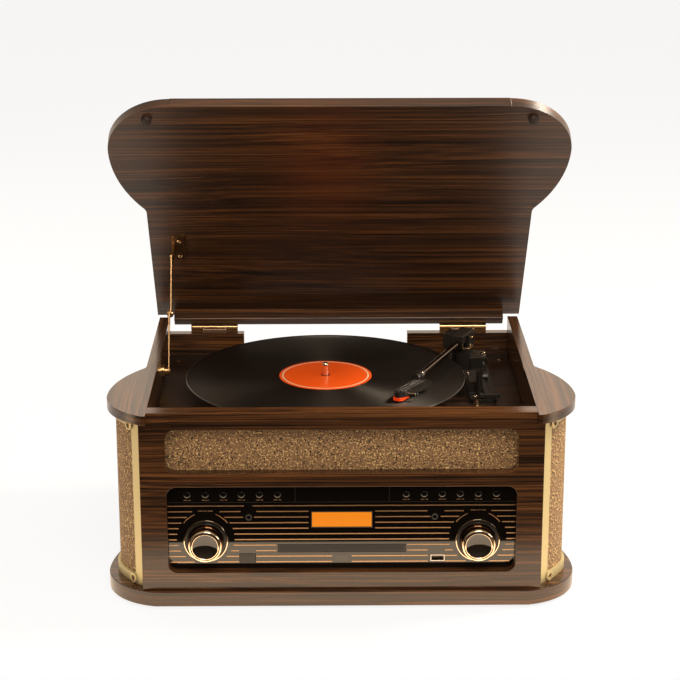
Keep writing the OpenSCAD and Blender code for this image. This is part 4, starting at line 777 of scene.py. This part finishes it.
class RECORDPLAYER_OT_control_plate(bpy.types.Operator):
    """Adds the gloss plate with its copper lines, arcs, marks, display surround and sockets"""

    bl_idname = "record_player.control_plate"
    bl_label = "Control Plate"

    HALF_WIDTH = 176.6
    KNOB_X = 138.7
    RING_Z = 53.5
    RING_RADIUS = 29.4
    LINES = 11
    SHORTEST_LINE = 0.5
    SUNK = 0.02
    ARCS = ((36, 67), (113, 144))
    ARC_INSET = 2.4
    ARC_WIDTH = 0.8
    ARC_STEPS = 10
    # Left, right, bottom and top of what the lines leave bare round the windows, sockets and marks
    BARE = ((-34, 34, 62, 83), (-67, 67, 36, 47), (-10, 10, 20, 36), (-105, -87.5, 20, 40),
            (88, 105.5, 20, 40), (-103, -87, 80, 84), (87, 104.5, 80, 84), (-100.5, -89.3, 73, 78),
            (90, 100.7, 73, 78), (-99.4, -90.7, 86, 90), (-152, -124, 80, 84), (124, 152, 80, 84),
            (171.5, 177, 25, 28), (-177, -175.5, 25, 28))
    # Height, thickness and the offset and half width of each mark
    BUTTON_MARKS = (94.4, 0.7, (-1.6, 1.9), (2.6, 1.3))
    KNOB_MARKS = (82.6, 0.8, (-5, 2.6), (0, 1.6), (5, 2.6))
    # The fine grooves: one level, in three stretches, and two upright
    GROOVE_Z = 91.9
    GROOVE_WIDTH = 0.35
    GROOVE_STRETCHES = ((-176.6, -47.7), (-46.8, 47.8), (48.6, 176.6))
    UPRIGHT_X = (-47.3, 48.2)
    UPRIGHT_HALF = 0.2
    UPRIGHT_Z = (92.1, 110.5)
    DISPLAY_RIM = 1.0
    DISPLAY_PROUD = 0.3
    EYE_HALF = 6.9
    EYE_Z = (26.2, 34.0)
    JACK_RING = ((1.9, 0.4), (1.9, -0.7), (2.3, -1.0), (3.1, -1.0), (3.4, -0.7), (3.4, 0.3), (1.9, 0.4))
    CONTACTS = 4
    CONTACT_PITCH = 2.75
    CONTACT_WIDTH = 1.3

    def execute(self, context):
        dressed("control_plate", "piano_black", 0.25 * MM)
        painted("circuit_green", "control_board", "power_board")
        self.lines()
        self.marks()
        self.display()
        self.sockets()
        return {"FINISHED"}

    def gaps(self, z):
        """The stretches that a line at height z leaves bare, as pairs of X."""
        found = [(low, high) for low, high, bottom, top in self.BARE if bottom < z < top]
        if abs(z - self.RING_Z) < self.RING_RADIUS:
            half = math.sqrt(self.RING_RADIUS ** 2 - (z - self.RING_Z) ** 2)
            found += [(x - half, x + half) for x in (-self.KNOB_X, self.KNOB_X)]
        return sorted(found)

    def lines(self):
        trim = sizes()
        mesh = bmesh.new()
        for number in range(self.LINES):
            z = (trim.line_top - number * trim.line_pitch) / MM
            start = -self.HALF_WIDTH
            for low, high in self.gaps(z) + [(self.HALF_WIDTH, self.HALF_WIDTH)]:
                if low > start + self.SHORTEST_LINE:
                    self.strip(mesh, start, low, z, trim.line_width / MM)
                start = max(start, high)
        for side in (-1, 1):
            for start, end in self.ARCS:
                self.arc(mesh, side * self.KNOB_X, start, end)
        piece("copper_lines", mesh, "root", ["copper"])

    def strip(self, mesh, x0, x1, z, width, finish=0):
        """A thin raised strip on the plate's face, from x0 to x1."""
        lift = sizes().line_lift / MM
        low = at(x0, PLATE_Y - lift, z - width / 2)
        block(mesh, low, at(x1, PLATE_Y + self.SUNK, z + width / 2), 0, finish, 1)

    def arc(self, mesh, x, start, end):
        """A thin raised arc round a knob, between two angles in degrees."""
        lift = sizes().line_lift
        inner = self.RING_RADIUS - self.ARC_INSET
        outer = inner + self.ARC_WIDTH
        sunk = self.SUNK * MM
        centre = at(x, PLATE_Y, self.RING_Z)
        turn = Matrix.Rotation(-math.radians(start), 4, "Y")
        corners = [(inner, -lift), (outer, -lift), (outer, sunk), (inner, sunk)]
        verts = [mesh.verts.new(centre + turn @ Vector((radius * MM, y, 0))) for radius, y in corners]
        face = mesh.faces.new(verts)
        before = set(mesh.faces) - {face}
        bmesh.ops.spin(
            mesh, geom=[face], cent=centre, axis=-Y, dvec=(0, 0, 0), angle=math.radians(end - start),
            steps=self.ARC_STEPS, use_merge=False, use_normal_flip=False, use_duplicate=False,
        )
        bmesh.ops.recalc_face_normals(mesh, faces=faces_since(mesh, before))

    def marks(self):
        """Plain short marks under the buttons, and the fine grooves that divide the top strip."""
        mesh = bmesh.new()
        places = [(plate_centre(f"button_{number}").x / MM, self.BUTTON_MARKS) for number in range(1, 13)]
        places += [(x, self.KNOB_MARKS) for x in (-self.KNOB_X, self.KNOB_X)]
        for x, (z, width, *marks) in places:
            for offset, half in marks:
                self.strip(mesh, x + offset - half, x + offset + half, z, width)
        for x0, x1 in self.GROOVE_STRETCHES:
            self.strip(mesh, x0, x1, self.GROOVE_Z, self.GROOVE_WIDTH, finish=1)
        bottom, top = self.UPRIGHT_Z
        for x in self.UPRIGHT_X:
            block(mesh, at(x - self.UPRIGHT_HALF, PLATE_Y - 0.08, bottom),
                  at(x + self.UPRIGHT_HALF, PLATE_Y + self.SUNK, top), 0, 1, 1)
        piece("plate_marks", mesh, "root", ["copper", "satin_black"])

    def display(self):
        """The display's black surround and the dark window of the remote eye."""
        mesh = bmesh.new()
        low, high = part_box("display_window")
        rim, proud = self.DISPLAY_RIM, self.DISPLAY_PROUD
        x0, x1 = low.x / MM, high.x / MM
        z0, z1 = (low.z - BASE) / MM, (high.z - BASE) / MM
        bars = ((x0 - rim, x1 + rim, z1, z1 + rim), (x0 - rim, x1 + rim, z0 - rim, z0),
                (x0 - rim, x0, z0, z1), (x1, x1 + rim, z0, z1))
        for left, right, bottom, top in bars:
            block(mesh, at(left, PLATE_Y - proud, bottom), at(right, PLATE_Y + proud, top), 0.1 * MM)
        piece("display_surround", mesh, "root", ["satin_black"])
        painted("amber", "display_window")
        eye = bmesh.new()
        bottom, top = self.EYE_Z
        block(eye, at(-self.EYE_HALF, PLATE_Y - 0.25, bottom),
              at(self.EYE_HALF, PLATE_Y + 0.1, top), 0.2 * MM)
        piece("remote_eye", eye, "root", ["smoked_cap"])

    def sockets(self):
        """Rings in the jack sockets and the contact tongue of the memory-stick socket."""
        mesh = bmesh.new()
        for place in mount_places("_jack"):
            turned(mesh, self.JACK_RING, Vector((place.x, PLATE, place.z)), Y, 32)
        piece("jack_rings", mesh, "root", ["satin_black"])
        painted("steel", "usb_socket", "disc_mechanism", "motor")
        low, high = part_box("usb_socket")
        left_top = Vector((low.x, low.y, high.z))
        rear_top = Vector((low.x, high.y, high.z))
        tongue = bmesh.new()
        block(tongue, left_top + mm(1.2, 1.3, -2.6), high - mm(1.2, 2, 0.9), 0.15 * MM)
        for number in range(self.CONTACTS):
            x = 2.4 + number * self.CONTACT_PITCH
            block(tongue, left_top + mm(x, 1.6, -2.72),
                  rear_top + mm(x + self.CONTACT_WIDTH, -4, -2.5), 0, 1, 1)
        piece("usb_tongue", tongue, "root", ["satin_black", "brass"])


class RECORDPLAYER_OT_knobs(bpy.types.Operator):
    """Turns the two bronze knobs with their bright rims and domed caps"""

    bl_idname = "record_player.knobs"
    bl_label = "Knobs"

    STEPS = 96
    FINISHES = ("chrome", "satin_black", "bronze_chrome", "smoked_cap")
    # Rim, ring, body, band, groove, lip and cap, each with its finish
    PROFILES = (
        (0, ((0, 0.3), (22.3, 0.3), (22.8, 0.6), (22.8, 1.8), (22.3, 2.5), (21.6, 2.6), (21.2, 2.2),
             (21.0, 1.6))),
        (1, ((21.0, 1.6), (19.4, 1.6), (18.9, 2.0))),
        (2, ((18.9, 2.0), (18.6, 3.2), (18.2, 6.0), (17.6, 10.5), (17.3, 13.2), (17.2, 14.0))),
        (0, ((17.2, 14.0), (17.3, 14.6), (17.2, 15.6), (16.7, 16.7), (15.9, 17.3), (15.2, 17.4),
             (14.8, 17.0))),
        (1, ((14.8, 17.0), (14.5, 16.2), (14.2, 16.3))),
        (0, ((14.2, 16.3), (14.0, 17.0), (13.4, 17.2), (13.0, 16.9))),
        (3, ((13.0, 16.9), (12.0, 16.4), (10.0, 15.55), (8.0, 14.9), (6.0, 14.4), (4.0, 14.05), (2.0, 13.85),
             (0, 13.8))),
    )
    PEG = ((3, 0.3), (3, -4), (0, -4))

    def execute(self, context):
        for name in ("volume_knob", "tuning_knob"):
            self.knob(name)
        return {"FINISHED"}

    def knob(self, name):
        centre = plate_centre(name)
        mesh = bmesh.new()
        for finish, profile in self.PROFILES:
            turned(mesh, profile, centre, -Y, self.STEPS, finish)
        turned(mesh, self.PEG, centre, -Y, 24, 1)
        bmesh.ops.remove_doubles(mesh, verts=mesh.verts, dist=CLOSE)
        bmesh.ops.recalc_face_normals(mesh, faces=mesh.faces)
        piece(f"{name}_turned", mesh, body_of(name), self.FINISHES, 40.0, (name,))


class RECORDPLAYER_OT_buttons(bpy.types.Operator):
    """Makes the domed buttons, the power button and the disc tray"""

    bl_idname = "record_player.buttons"
    bl_label = "Buttons and Tray"

    DOME = ((0, 4.0), (3.5, 4.0), (3.5, -0.1), (3.4, -0.4), (3.1, -0.7), (2.4, -0.9), (1.4, -0.98), (0, -1.0))
    TRAY_RIBS = 3
    RIB_INSET = 2
    RIB_HALF = 0.5

    def execute(self, context):
        for number in range(1, 13):
            name = f"button_{number}"
            mesh = bmesh.new()
            turned(mesh, self.DOME, plate_centre(name), Y, 32)
            piece(f"{name}_domed", mesh, body_of(name), ["piano_black"], 60.0, (name,))
        dressed("power_button", "satin_black", 0.5 * MM, 3)
        self.tray()
        return {"FINISHED"}

    def tray(self):
        dressed("disc_tray", "satin_black", 0.3 * MM)
        low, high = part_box("disc_tray")
        mesh = bmesh.new()
        step = (high.z - low.z) / (self.TRAY_RIBS + 1)
        for row in range(self.TRAY_RIBS):
            z = low.z + (row + 1) * step
            block(mesh, Vector((low.x, low.y, z)) + mm(self.RIB_INSET, -0.15, -self.RIB_HALF),
                  Vector((high.x, low.y, z)) + mm(-self.RIB_INSET, 0.1, self.RIB_HALF), 0.12 * MM)
        piece("tray_ribs", mesh, "tray", ["matt_black"])


class RECORDPLAYER_OT_turntable(bpy.types.Operator):
    """Turns the platter, the grooved record, its label and the spindle"""

    bl_idname = "record_player.turntable"
    bl_label = "Turntable"

    HOLE = 3.6
    BEAD_DROP = 7.4

    def execute(self, context):
        self.record()
        self.label()
        self.platter()
        painted("chrome", "spindle")
        painted("brass", "motor_pulley")
        painted("matt_black", "drive_belt")
        return {"FINISHED"}

    def measures(self, name):
        """A round piece's foot on the spindle's axis, and its radius and height in millimetres."""
        low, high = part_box(name)
        return Vector((SPINDLE.x, SPINDLE.y, low.z)), (high.x - low.x) / 2 / MM, (high.z - low.z) / MM

    def record(self):
        """The raised rim, the grooved band and the raised ring round the label."""
        centre, radius, top = self.measures("record")
        hole = self.HOLE
        mesh = bmesh.new()
        outer = [(hole, 0.0), (54, 0.0), (radius - 4, 0.3), (radius - 1.0, 0.25), (radius - 0.2, 0.6),
                 (radius, 1.0), (radius - 0.2, 1.5), (radius - 1.0, top - 0.05), (radius - 2.6, top - 0.02),
                 (radius - 4.2, top - 0.32)]
        grooves = [(radius - 4.6, top - 0.33), (60.0, top - 0.33)]
        centre_land = [(58.0, top - 0.31), (54.2, top - 0.05), (52.0, top), (50.3, top), (50.0, top - 0.1),
                       (hole, top - 0.1), (hole, 0.0)]
        turned(mesh, outer + grooves + centre_land, centre, Z, 200)
        piece("record_pressed", mesh, "turntable", ["vinyl"], 20.0, ("record",))

    def label(self):
        """The paper disc with the press's ring in it."""
        centre, radius, top = self.measures("record_label")
        foot, face, ring = -0.08, top - 0.02, top - 0.08
        profile = [(self.HOLE, foot), (radius - 0.1, foot), (radius, 0.1), (radius - 0.3, top - 0.06),
                   (radius - 1, face), (18, face), (17.6, ring), (17.0, ring), (16.6, face),
                   (self.HOLE, face), (self.HOLE, foot)]
        mesh = bmesh.new()
        turned(mesh, profile, centre, Z, 128)
        piece("label_printed", mesh, "turntable", ["label_paper"], 30.0, ("record_label",))

    def platter(self):
        painted("satin_black", "platter")
        centre, radius, top = self.measures("platter")
        inner, outer = radius - 0.3, radius - 0.02
        bead = [(inner, -0.7), (outer, -0.5), (outer, 0.5), (inner, 0.7), (inner, -0.7)]
        mesh = bmesh.new()
        turned(mesh, bead, centre + mm(0, 0, top - self.BEAD_DROP), Z, 128)
        piece("platter_bead", mesh, "turntable", ["steel"])


class RECORDPLAYER_OT_tonearm(bpy.types.Operator):
    """Finishes the tonearm: base, turret, tube, ribbed headshell, stylus, lever and their small pieces"""

    bl_idname = "record_player.tonearm"
    bl_label = "Tonearm"

    ARM_ANGLE = 22.9
    SHELL_ANGLE = 9.5
    SHELL_SIDE = 6.0
    TUBE_LENGTH = 144.0
    SHELL_LENGTH = 55.0
    RIBS = 4
    RIB_PITCH = 2.8
    RIB_WIDTH = 0.4
    LEAD_RADIUS = 0.7
    ROUNDED = (("tonearm_base", "satin_black", 0.25), ("gimbal", "satin_black", 0.5),
               ("cue_lever", "satin_black", 0.5), ("headshell", "satin_black", 0.3),
               ("stylus", "stylus", 0.4), ("speed_switch", "chrome", 0.3), ("arm_tube", "tube_metal", 0.5))
    # The arm's lead, down behind the turret
    LEAD = ((138, 279, 26), (134, 287, 20), (131, 291, 10), (131, 292, 1))
    # X, Y, foot, top, radius, segments and tip of the base's fittings
    FITTINGS = ((165, 271, 4.9, 12, 2.2, 20, 0.5), (145, 155, 4.9, 7.5, 2.6, 20, 0.6),
                (162, 270, 17.8, 20, 3.0, 24, 0.6), (140.5, 205, 16.9, 18, 2.0, 20, 0.4))

    def execute(self, context):
        turn = Matrix.Rotation(-math.radians(self.ARM_ANGLE), 4, "Z")
        self.arm = Matrix.Translation(Vector((ARM_PIVOT.x, ARM_PIVOT.y, DECK))) @ turn
        turn = Matrix.Rotation(-math.radians(self.SHELL_ANGLE), 4, "Z")
        self.shell = self.arm @ Matrix.Translation(mm(self.SHELL_SIDE, -self.TUBE_LENGTH, 0)) @ turn
        for name, finish, width in self.ROUNDED:
            dressed(name, finish, width * MM)
        self.turret_details()
        self.shell_details()
        self.base_details()
        return {"FINISHED"}

    def turret_details(self):
        """Bright screws and a ring on the turret, and a black cover over the tube's block."""
        mesh = bmesh.new()
        for y, z in ((8, 38), (2, 31)):
            rod(mesh, mm(9.2, y, z), mm(10.0, y, z), 1.5, 20, 0.3, self.arm)
        turned(mesh, [(10.6, 0.0), (12.6, 0.0), (12.8, 0.4), (12.6, 0.9), (10.6, 0.9), (10.6, 0.0)],
               mm(0, 0, 29.2), Z, 48, 0, self.arm)
        piece("turret_trim", mesh, "turret", ["brass"])
        cover = bmesh.new()
        block(cover, mm(-8.6, -16.2, 35.0), mm(5.6, 20.2, 45.1), 0.8 * MM, 0, 2, self.arm)
        piece("carrier_cover", cover, "arm", ["satin_black"])

    def shell_details(self):
        """Ribs on the headshell, its collar's ring and the finger lift; the ribs are real ridges, made bright
        steel as a painted highlight of their lit tops.
        """
        mesh = bmesh.new()
        end = 6 - self.SHELL_LENGTH
        half = self.RIB_WIDTH / 2
        for number in range(self.RIBS):
            x = (number - (self.RIBS - 1) / 2) * self.RIB_PITCH
            block(mesh, mm(x - half, end, 35.5), mm(x + half, -7, 35.8), 0.1 * MM, 0, 1, self.shell)
        # Steel on the ribs is painted highlight: the ridges themselves are black like the shell
        piece("shell_ribs", mesh, "arm", ["steel"])
        ring = bmesh.new()
        turned(ring, [(3.3, 0), (5.15, 0), (5.3, 0.4), (5.3, 1.4), (5.15, 1.8), (3.3, 1.8), (3.3, 0)],
               mm(0, 5.0 - self.TUBE_LENGTH, 36.5), Y, 32, 0, self.arm)
        lift = 13.5 - self.SHELL_LENGTH
        rod(ring, mm(6.0, lift, 31.6), mm(14.6, lift, 32.4), 0.9, 12, 0.3, self.shell)
        piece("shell_trim", ring, "arm", ["chrome"])

    def base_details(self):
        """Screws, the bright post and the lead of the fixed base."""
        mesh = bmesh.new()
        top = (DECK - BASE) / MM
        for x, y, foot, end, radius, segments, tip in self.FITTINGS:
            rod(mesh, at(x, y, top + foot), at(x, y, top + end), radius, segments, tip)
        piece("base_fittings", mesh, "root", ["chrome"])
        lead = bmesh.new()
        points = [at(x, y, top + z) for x, y, z in self.LEAD]
        for start, end in zip(points, points[1:]):
            rod(lead, start, end, self.LEAD_RADIUS, 10, 0.3)
        piece("arm_lead", lead, "root", ["matt_black"])


class RECORDPLAYER_OT_lid(bpy.types.Operator):
    """Finishes the lid, its rail, bumpers, hinges and the folding stay"""

    bl_idname = "record_player.lid"
    bl_label = "Lid and Stay"

    HINGE_X = (-144.1, 144.1)
    LEAF_SCREWS = (-20, -7, 7, 20)
    SCREW_REACH = 10
    LEAF = 0.6
    BUMPER_X = (-200, 200)
    BUMPER_Y = -332.0
    BUMPER_HEIGHT = 4.85
    LID_UNDERSIDE = 17.55
    # X, how far ahead of the hinges, and height of the screws in the stay's plate
    STAY_SCREWS = ((-177.6, -136.3, 16.05), (-177.6, -110.6, 16.05))

    def execute(self, context):
        for name in ("lid_board", "lid_rail"):
            dressed(name, "walnut_lid", sizes().board_round)
        for name in ("lid_hinges", "cabinet_hinges"):
            dressed(name, "brass", 0.2 * MM, 1)
        for name in ("stay_lower_link", "stay_upper_link"):
            dressed(name, "brass", 0.25 * MM)
        self.bumpers()
        self.hinge_screws()
        self.stay_fittings()
        return {"FINISHED"}

    def bumpers(self):
        mesh = bmesh.new()
        height = self.BUMPER_HEIGHT
        profile = [(0, 0.2), (5.25, 0.2), (5.25, 1.4 - height), (4.6, 0.4 - height), (3.2, -height),
                   (0, -height)]
        for x in self.BUMPER_X:
            turned(mesh, profile, mm(x, self.BUMPER_Y, self.LID_UNDERSIDE), Z, 40, 0, LID)
        piece("bumpers_domed", mesh, "lid", ["dark_rubber"], 35.0, ("lid_bumpers",))

    def hinge_screws(self):
        """Countersunk screws on both leaves of each hinge."""
        hinge = Vector(JOINTS["lid_hinge"]["pos_m"])
        fixed = bmesh.new()
        moving = bmesh.new()
        for x in (middle + offset for middle in self.HINGE_X for offset in self.LEAF_SCREWS):
            screw_head(fixed, hinge + mm(x, self.LEAF, -self.SCREW_REACH), Y, 2.0)
            screw_head(moving, LID @ mm(x, self.LEAF, self.SCREW_REACH), LID.to_3x3() @ Y, 2.0)
        piece("cabinet_hinge_screws", fixed, "root", ["brass", "matt_black"], 40.0)
        piece("lid_hinge_screws", moving, "lid", ["brass", "matt_black"], 40.0)

    def stay_fittings(self):
        """Screws of the stay's lid plate."""
        mesh = bmesh.new()
        down = LID.to_3x3() @ -Z
        for place in self.STAY_SCREWS:
            screw_head(mesh, LID @ mm(*place), down, 2.6)
        piece("stay_plate_screws", mesh, "lid", ["brass", "matt_black"], 40.0)


class RECORDPLAYER_OT_rear(bpy.types.Operator):
    """Adds the collars of the rear sockets and the back panel's screws"""

    bl_idname = "record_player.rear"
    bl_label = "Rear Sockets"

    SCREW_INSET = 9 * MM
    SCREW_INSET_TOP = 40 * MM
    INNER_SCREW_X = 60 * MM
    COLLAR = ((4.3, 0.0), (6.4, 0.0), (6.4, 1.6), (5.9, 2.2), (4.3, 2.2), (4.3, 0.0))

    def execute(self, context):
        low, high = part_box("back_panel")
        back = high.y
        mesh = bmesh.new()
        inset = self.SCREW_INSET
        for x in (low.x + inset, -self.INNER_SCREW_X, self.INNER_SCREW_X, high.x - inset):
            for z in (low.z + inset, high.z - self.SCREW_INSET_TOP):
                screw_head(mesh, Vector((x, back, z)), Y, 2.8)
        piece("back_screws", mesh, "root", ["brass", "matt_black"], 40.0)
        collars = bmesh.new()
        for number, place in enumerate(mount_places("_phono")):
            turned(collars, self.COLLAR, Vector((place.x, back, place.z)), Y, 40, number)
        piece("phono_collars", collars, "root", ["white_plastic", "red_plastic"])
        return {"FINISHED"}


class RECORDPLAYER_OT_stage(bpy.types.Operator):
    """Sets the pale floor, the soft lights, the background and the camera"""

    bl_idname = "record_player.stage"
    bl_label = "Stage"

    CAMERA_PLACE = (-0.01997, -2.04083, 0.85736)
    CAMERA_TURN = (72.95, 0.04, -0.57)
    LENS = 104.86
    FLOOR_EDGE = -0.328
    FLOOR_GLOW = (3.4, 2.55, 1.75)
    FLOOR_GLOW_AROUND = (1.15, 1.0, 0.86)
    LAMP_TARGET = Vector((0, 0, 0.2))
    # Place, extent, power, colour and whether gloss mirrors the lamp
    LAMPS = {
        "front_top": ((0.2, -1.3, 1.7), 0.9, 22, (1, 0.9, 0.77), True),
        "right_top": ((1.35, 0.3, 1.5), 0.4, 46, (1, 0.88, 0.74), True),
        "left_rear": ((-1.5, 1.1, 0.9), 0.9, 14, (1, 0.9, 0.78), False),
        "front_left": ((-1.1, -1.7, 1.0), 0.6, 8, (1, 0.93, 0.83), False),
        "right_front": ((1.7, -0.9, 0.8), 0.6, 9, (1, 0.93, 0.83), True),
    }

    def execute(self, context):
        self.floor()
        self.world(context.scene)
        self.lights()
        self.camera(context.scene)
        context.scene.view_settings.view_transform = "Standard"
        return {"FINISHED"}

    def floor(self):
        """A pale sheet that ends in front of the player, so that gloss surfaces show its edge."""
        half, back = 4, 5
        mesh = bmesh.new()
        made = bmesh.ops.create_grid(mesh, x_segments=1, y_segments=1, size=0.5)
        depth = back - self.FLOOR_EDGE
        bmesh.ops.scale(mesh, verts=made["verts"], vec=(2 * half, depth, 1))
        bmesh.ops.translate(mesh, verts=made["verts"], vec=(0, self.FLOOR_EDGE + depth / 2, 0))
        data = bpy.data.meshes.new("floor")
        mesh.to_mesh(data)
        mesh.free()
        floor = bpy.data.objects.new("floor", data)
        bpy.context.scene.collection.objects.link(floor)
        data.materials.append(self.floor_surface())

    def floor_surface(self):
        """Pale paper that glows a little; gloss ahead of the player mirrors it brighter."""
        made, tree, shader, coordinates = blank("pale_floor")
        feed(tree, shader, {"Base Color": (0.9, 0.89, 0.88), "Roughness": 0.6, "Specular IOR Level": 0.1})
        path = node(tree, "ShaderNodeLightPath").outputs
        seen = maths(tree, "MULTIPLY", path["Is Camera Ray"], 0.86)
        spread = maths(tree, "MULTIPLY", path["Is Diffuse Ray"], 0.5)
        share = maths(tree, "MAXIMUM", maths(tree, "MAXIMUM", seen, spread), path["Is Glossy Ray"])
        near = node(tree, "ShaderNodeMapRange", interpolation_type="SMOOTHSTEP")
        reach = {"From Min": -0.06, "From Max": -0.22, "To Min": 0.0, "To Max": 1.0}
        feed(tree, near, {"Value": part_of(tree, coordinates, "Y"), **reach})
        ahead = mixed(tree, near.outputs["Result"], self.FLOOR_GLOW_AROUND, self.FLOOR_GLOW)
        glow = node(tree, "ShaderNodeEmission", Strength=1.0)
        put(tree, glow.inputs["Color"], mixed(tree, path["Is Glossy Ray"], WHITE, ahead))
        blend = node(tree, "ShaderNodeMixShader")
        for socket, value in zip(blend.inputs, (share, shader.outputs["BSDF"], glow.outputs["Emission"])):
            put(tree, socket, value)
        put(tree, tree.nodes["Material Output"].inputs["Surface"], blend.outputs["Shader"])
        return made

    def world(self, scene):
        """White to the eye; for gloss, pale behind the player and dark in front of it."""
        world = bpy.data.worlds.new("studio")
        scene.world = world
        world.use_nodes = True
        tree = world.node_tree
        path = node(tree, "ShaderNodeLightPath").outputs
        direction = node(tree, "ShaderNodeTexCoord").outputs["Generated"]
        back = maths(tree, "MULTIPLY", maths(tree, "ADD", part_of(tree, direction, "Y"), 0.35), 0.9)
        above = maths(tree, "MULTIPLY", part_of(tree, direction, "Z"), 0.75)
        room = ramp(tree, maths(tree, "MAXIMUM", back, above), (0.0, (0.02, 0.017, 0.014)),
                    (0.45, (0.34, 0.27, 0.20)), (1.0, (1.45, 1.2, 0.95)))
        plain = mixed(tree, path["Is Glossy Ray"], (0.40, 0.34, 0.28), room)
        put(tree, tree.nodes["Background"].inputs["Color"], mixed(tree, path["Is Camera Ray"], plain, WHITE))

    def lights(self):
        for name, (place, extent, power, tone, mirrored) in self.LAMPS.items():
            lamp = bpy.data.lights.new(name, "AREA")
            lamp.shape = "SQUARE"
            lamp.size = extent
            lamp.energy = power
            lamp.color = tone
            holder = bpy.data.objects.new(name, lamp)
            bpy.context.scene.collection.objects.link(holder)
            holder.location = place
            holder.visible_glossy = mirrored
            holder.rotation_euler = (self.LAMP_TARGET - Vector(place)).to_track_quat("-Z", "Y").to_euler()

    def camera(self, scene):
        data = bpy.data.cameras.new("camera")
        data.lens = self.LENS
        data.sensor_width = 36
        data.clip_start = 0.05
        data.clip_end = 50
        camera = bpy.data.objects.new("camera", data)
        scene.collection.objects.link(camera)
        camera.location = self.CAMERA_PLACE
        camera.rotation_euler = [math.radians(angle) for angle in self.CAMERA_TURN]
        scene.camera = camera


class RECORDPLAYER_PT_panel(bpy.types.Panel):
    """Lists the sizes, the colours and the steps in the sidebar"""

    bl_idname = "RECORDPLAYER_PT_panel"
    bl_label = "Record Player"
    bl_space_type = "VIEW_3D"
    bl_region_type = "UI"
    bl_category = "Record Player"

    def draw(self, context):
        layout = self.layout
        for settings in (context.scene.record_player_sizes, context.scene.record_player_colours):
            for name in settings.__annotations__:
                layout.prop(settings, name)
        for operator in OPERATORS:
            layout.operator(operator.bl_idname)


OPERATORS = (
    RECORDPLAYER_OT_stage,
    RECORDPLAYER_OT_case,
    RECORDPLAYER_OT_speakers,
    RECORDPLAYER_OT_control_plate,
    RECORDPLAYER_OT_knobs,
    RECORDPLAYER_OT_buttons,
    RECORDPLAYER_OT_turntable,
    RECORDPLAYER_OT_tonearm,
    RECORDPLAYER_OT_lid,
    RECORDPLAYER_OT_rear,
)
CLASSES = (RecordPlayerSizes, RecordPlayerColours, *OPERATORS, RECORDPLAYER_PT_panel)


def register():
    for part in CLASSES:
        bpy.utils.register_class(part)
    bpy.types.Scene.record_player_sizes = bpy.props.PointerProperty(type=RecordPlayerSizes)
    bpy.types.Scene.record_player_colours = bpy.props.PointerProperty(type=RecordPlayerColours)


def unregister():
    del bpy.types.Scene.record_player_colours
    del bpy.types.Scene.record_player_sizes
    for part in reversed(CLASSES):
        bpy.utils.unregister_class(part)


def main():
    """Registers the add-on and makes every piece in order."""
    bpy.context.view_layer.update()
    register()
    for operator in OPERATORS:
        group, name = operator.bl_idname.split(".")
        getattr(getattr(bpy.ops, group), name)()


if __name__ == "__main__":
    main()
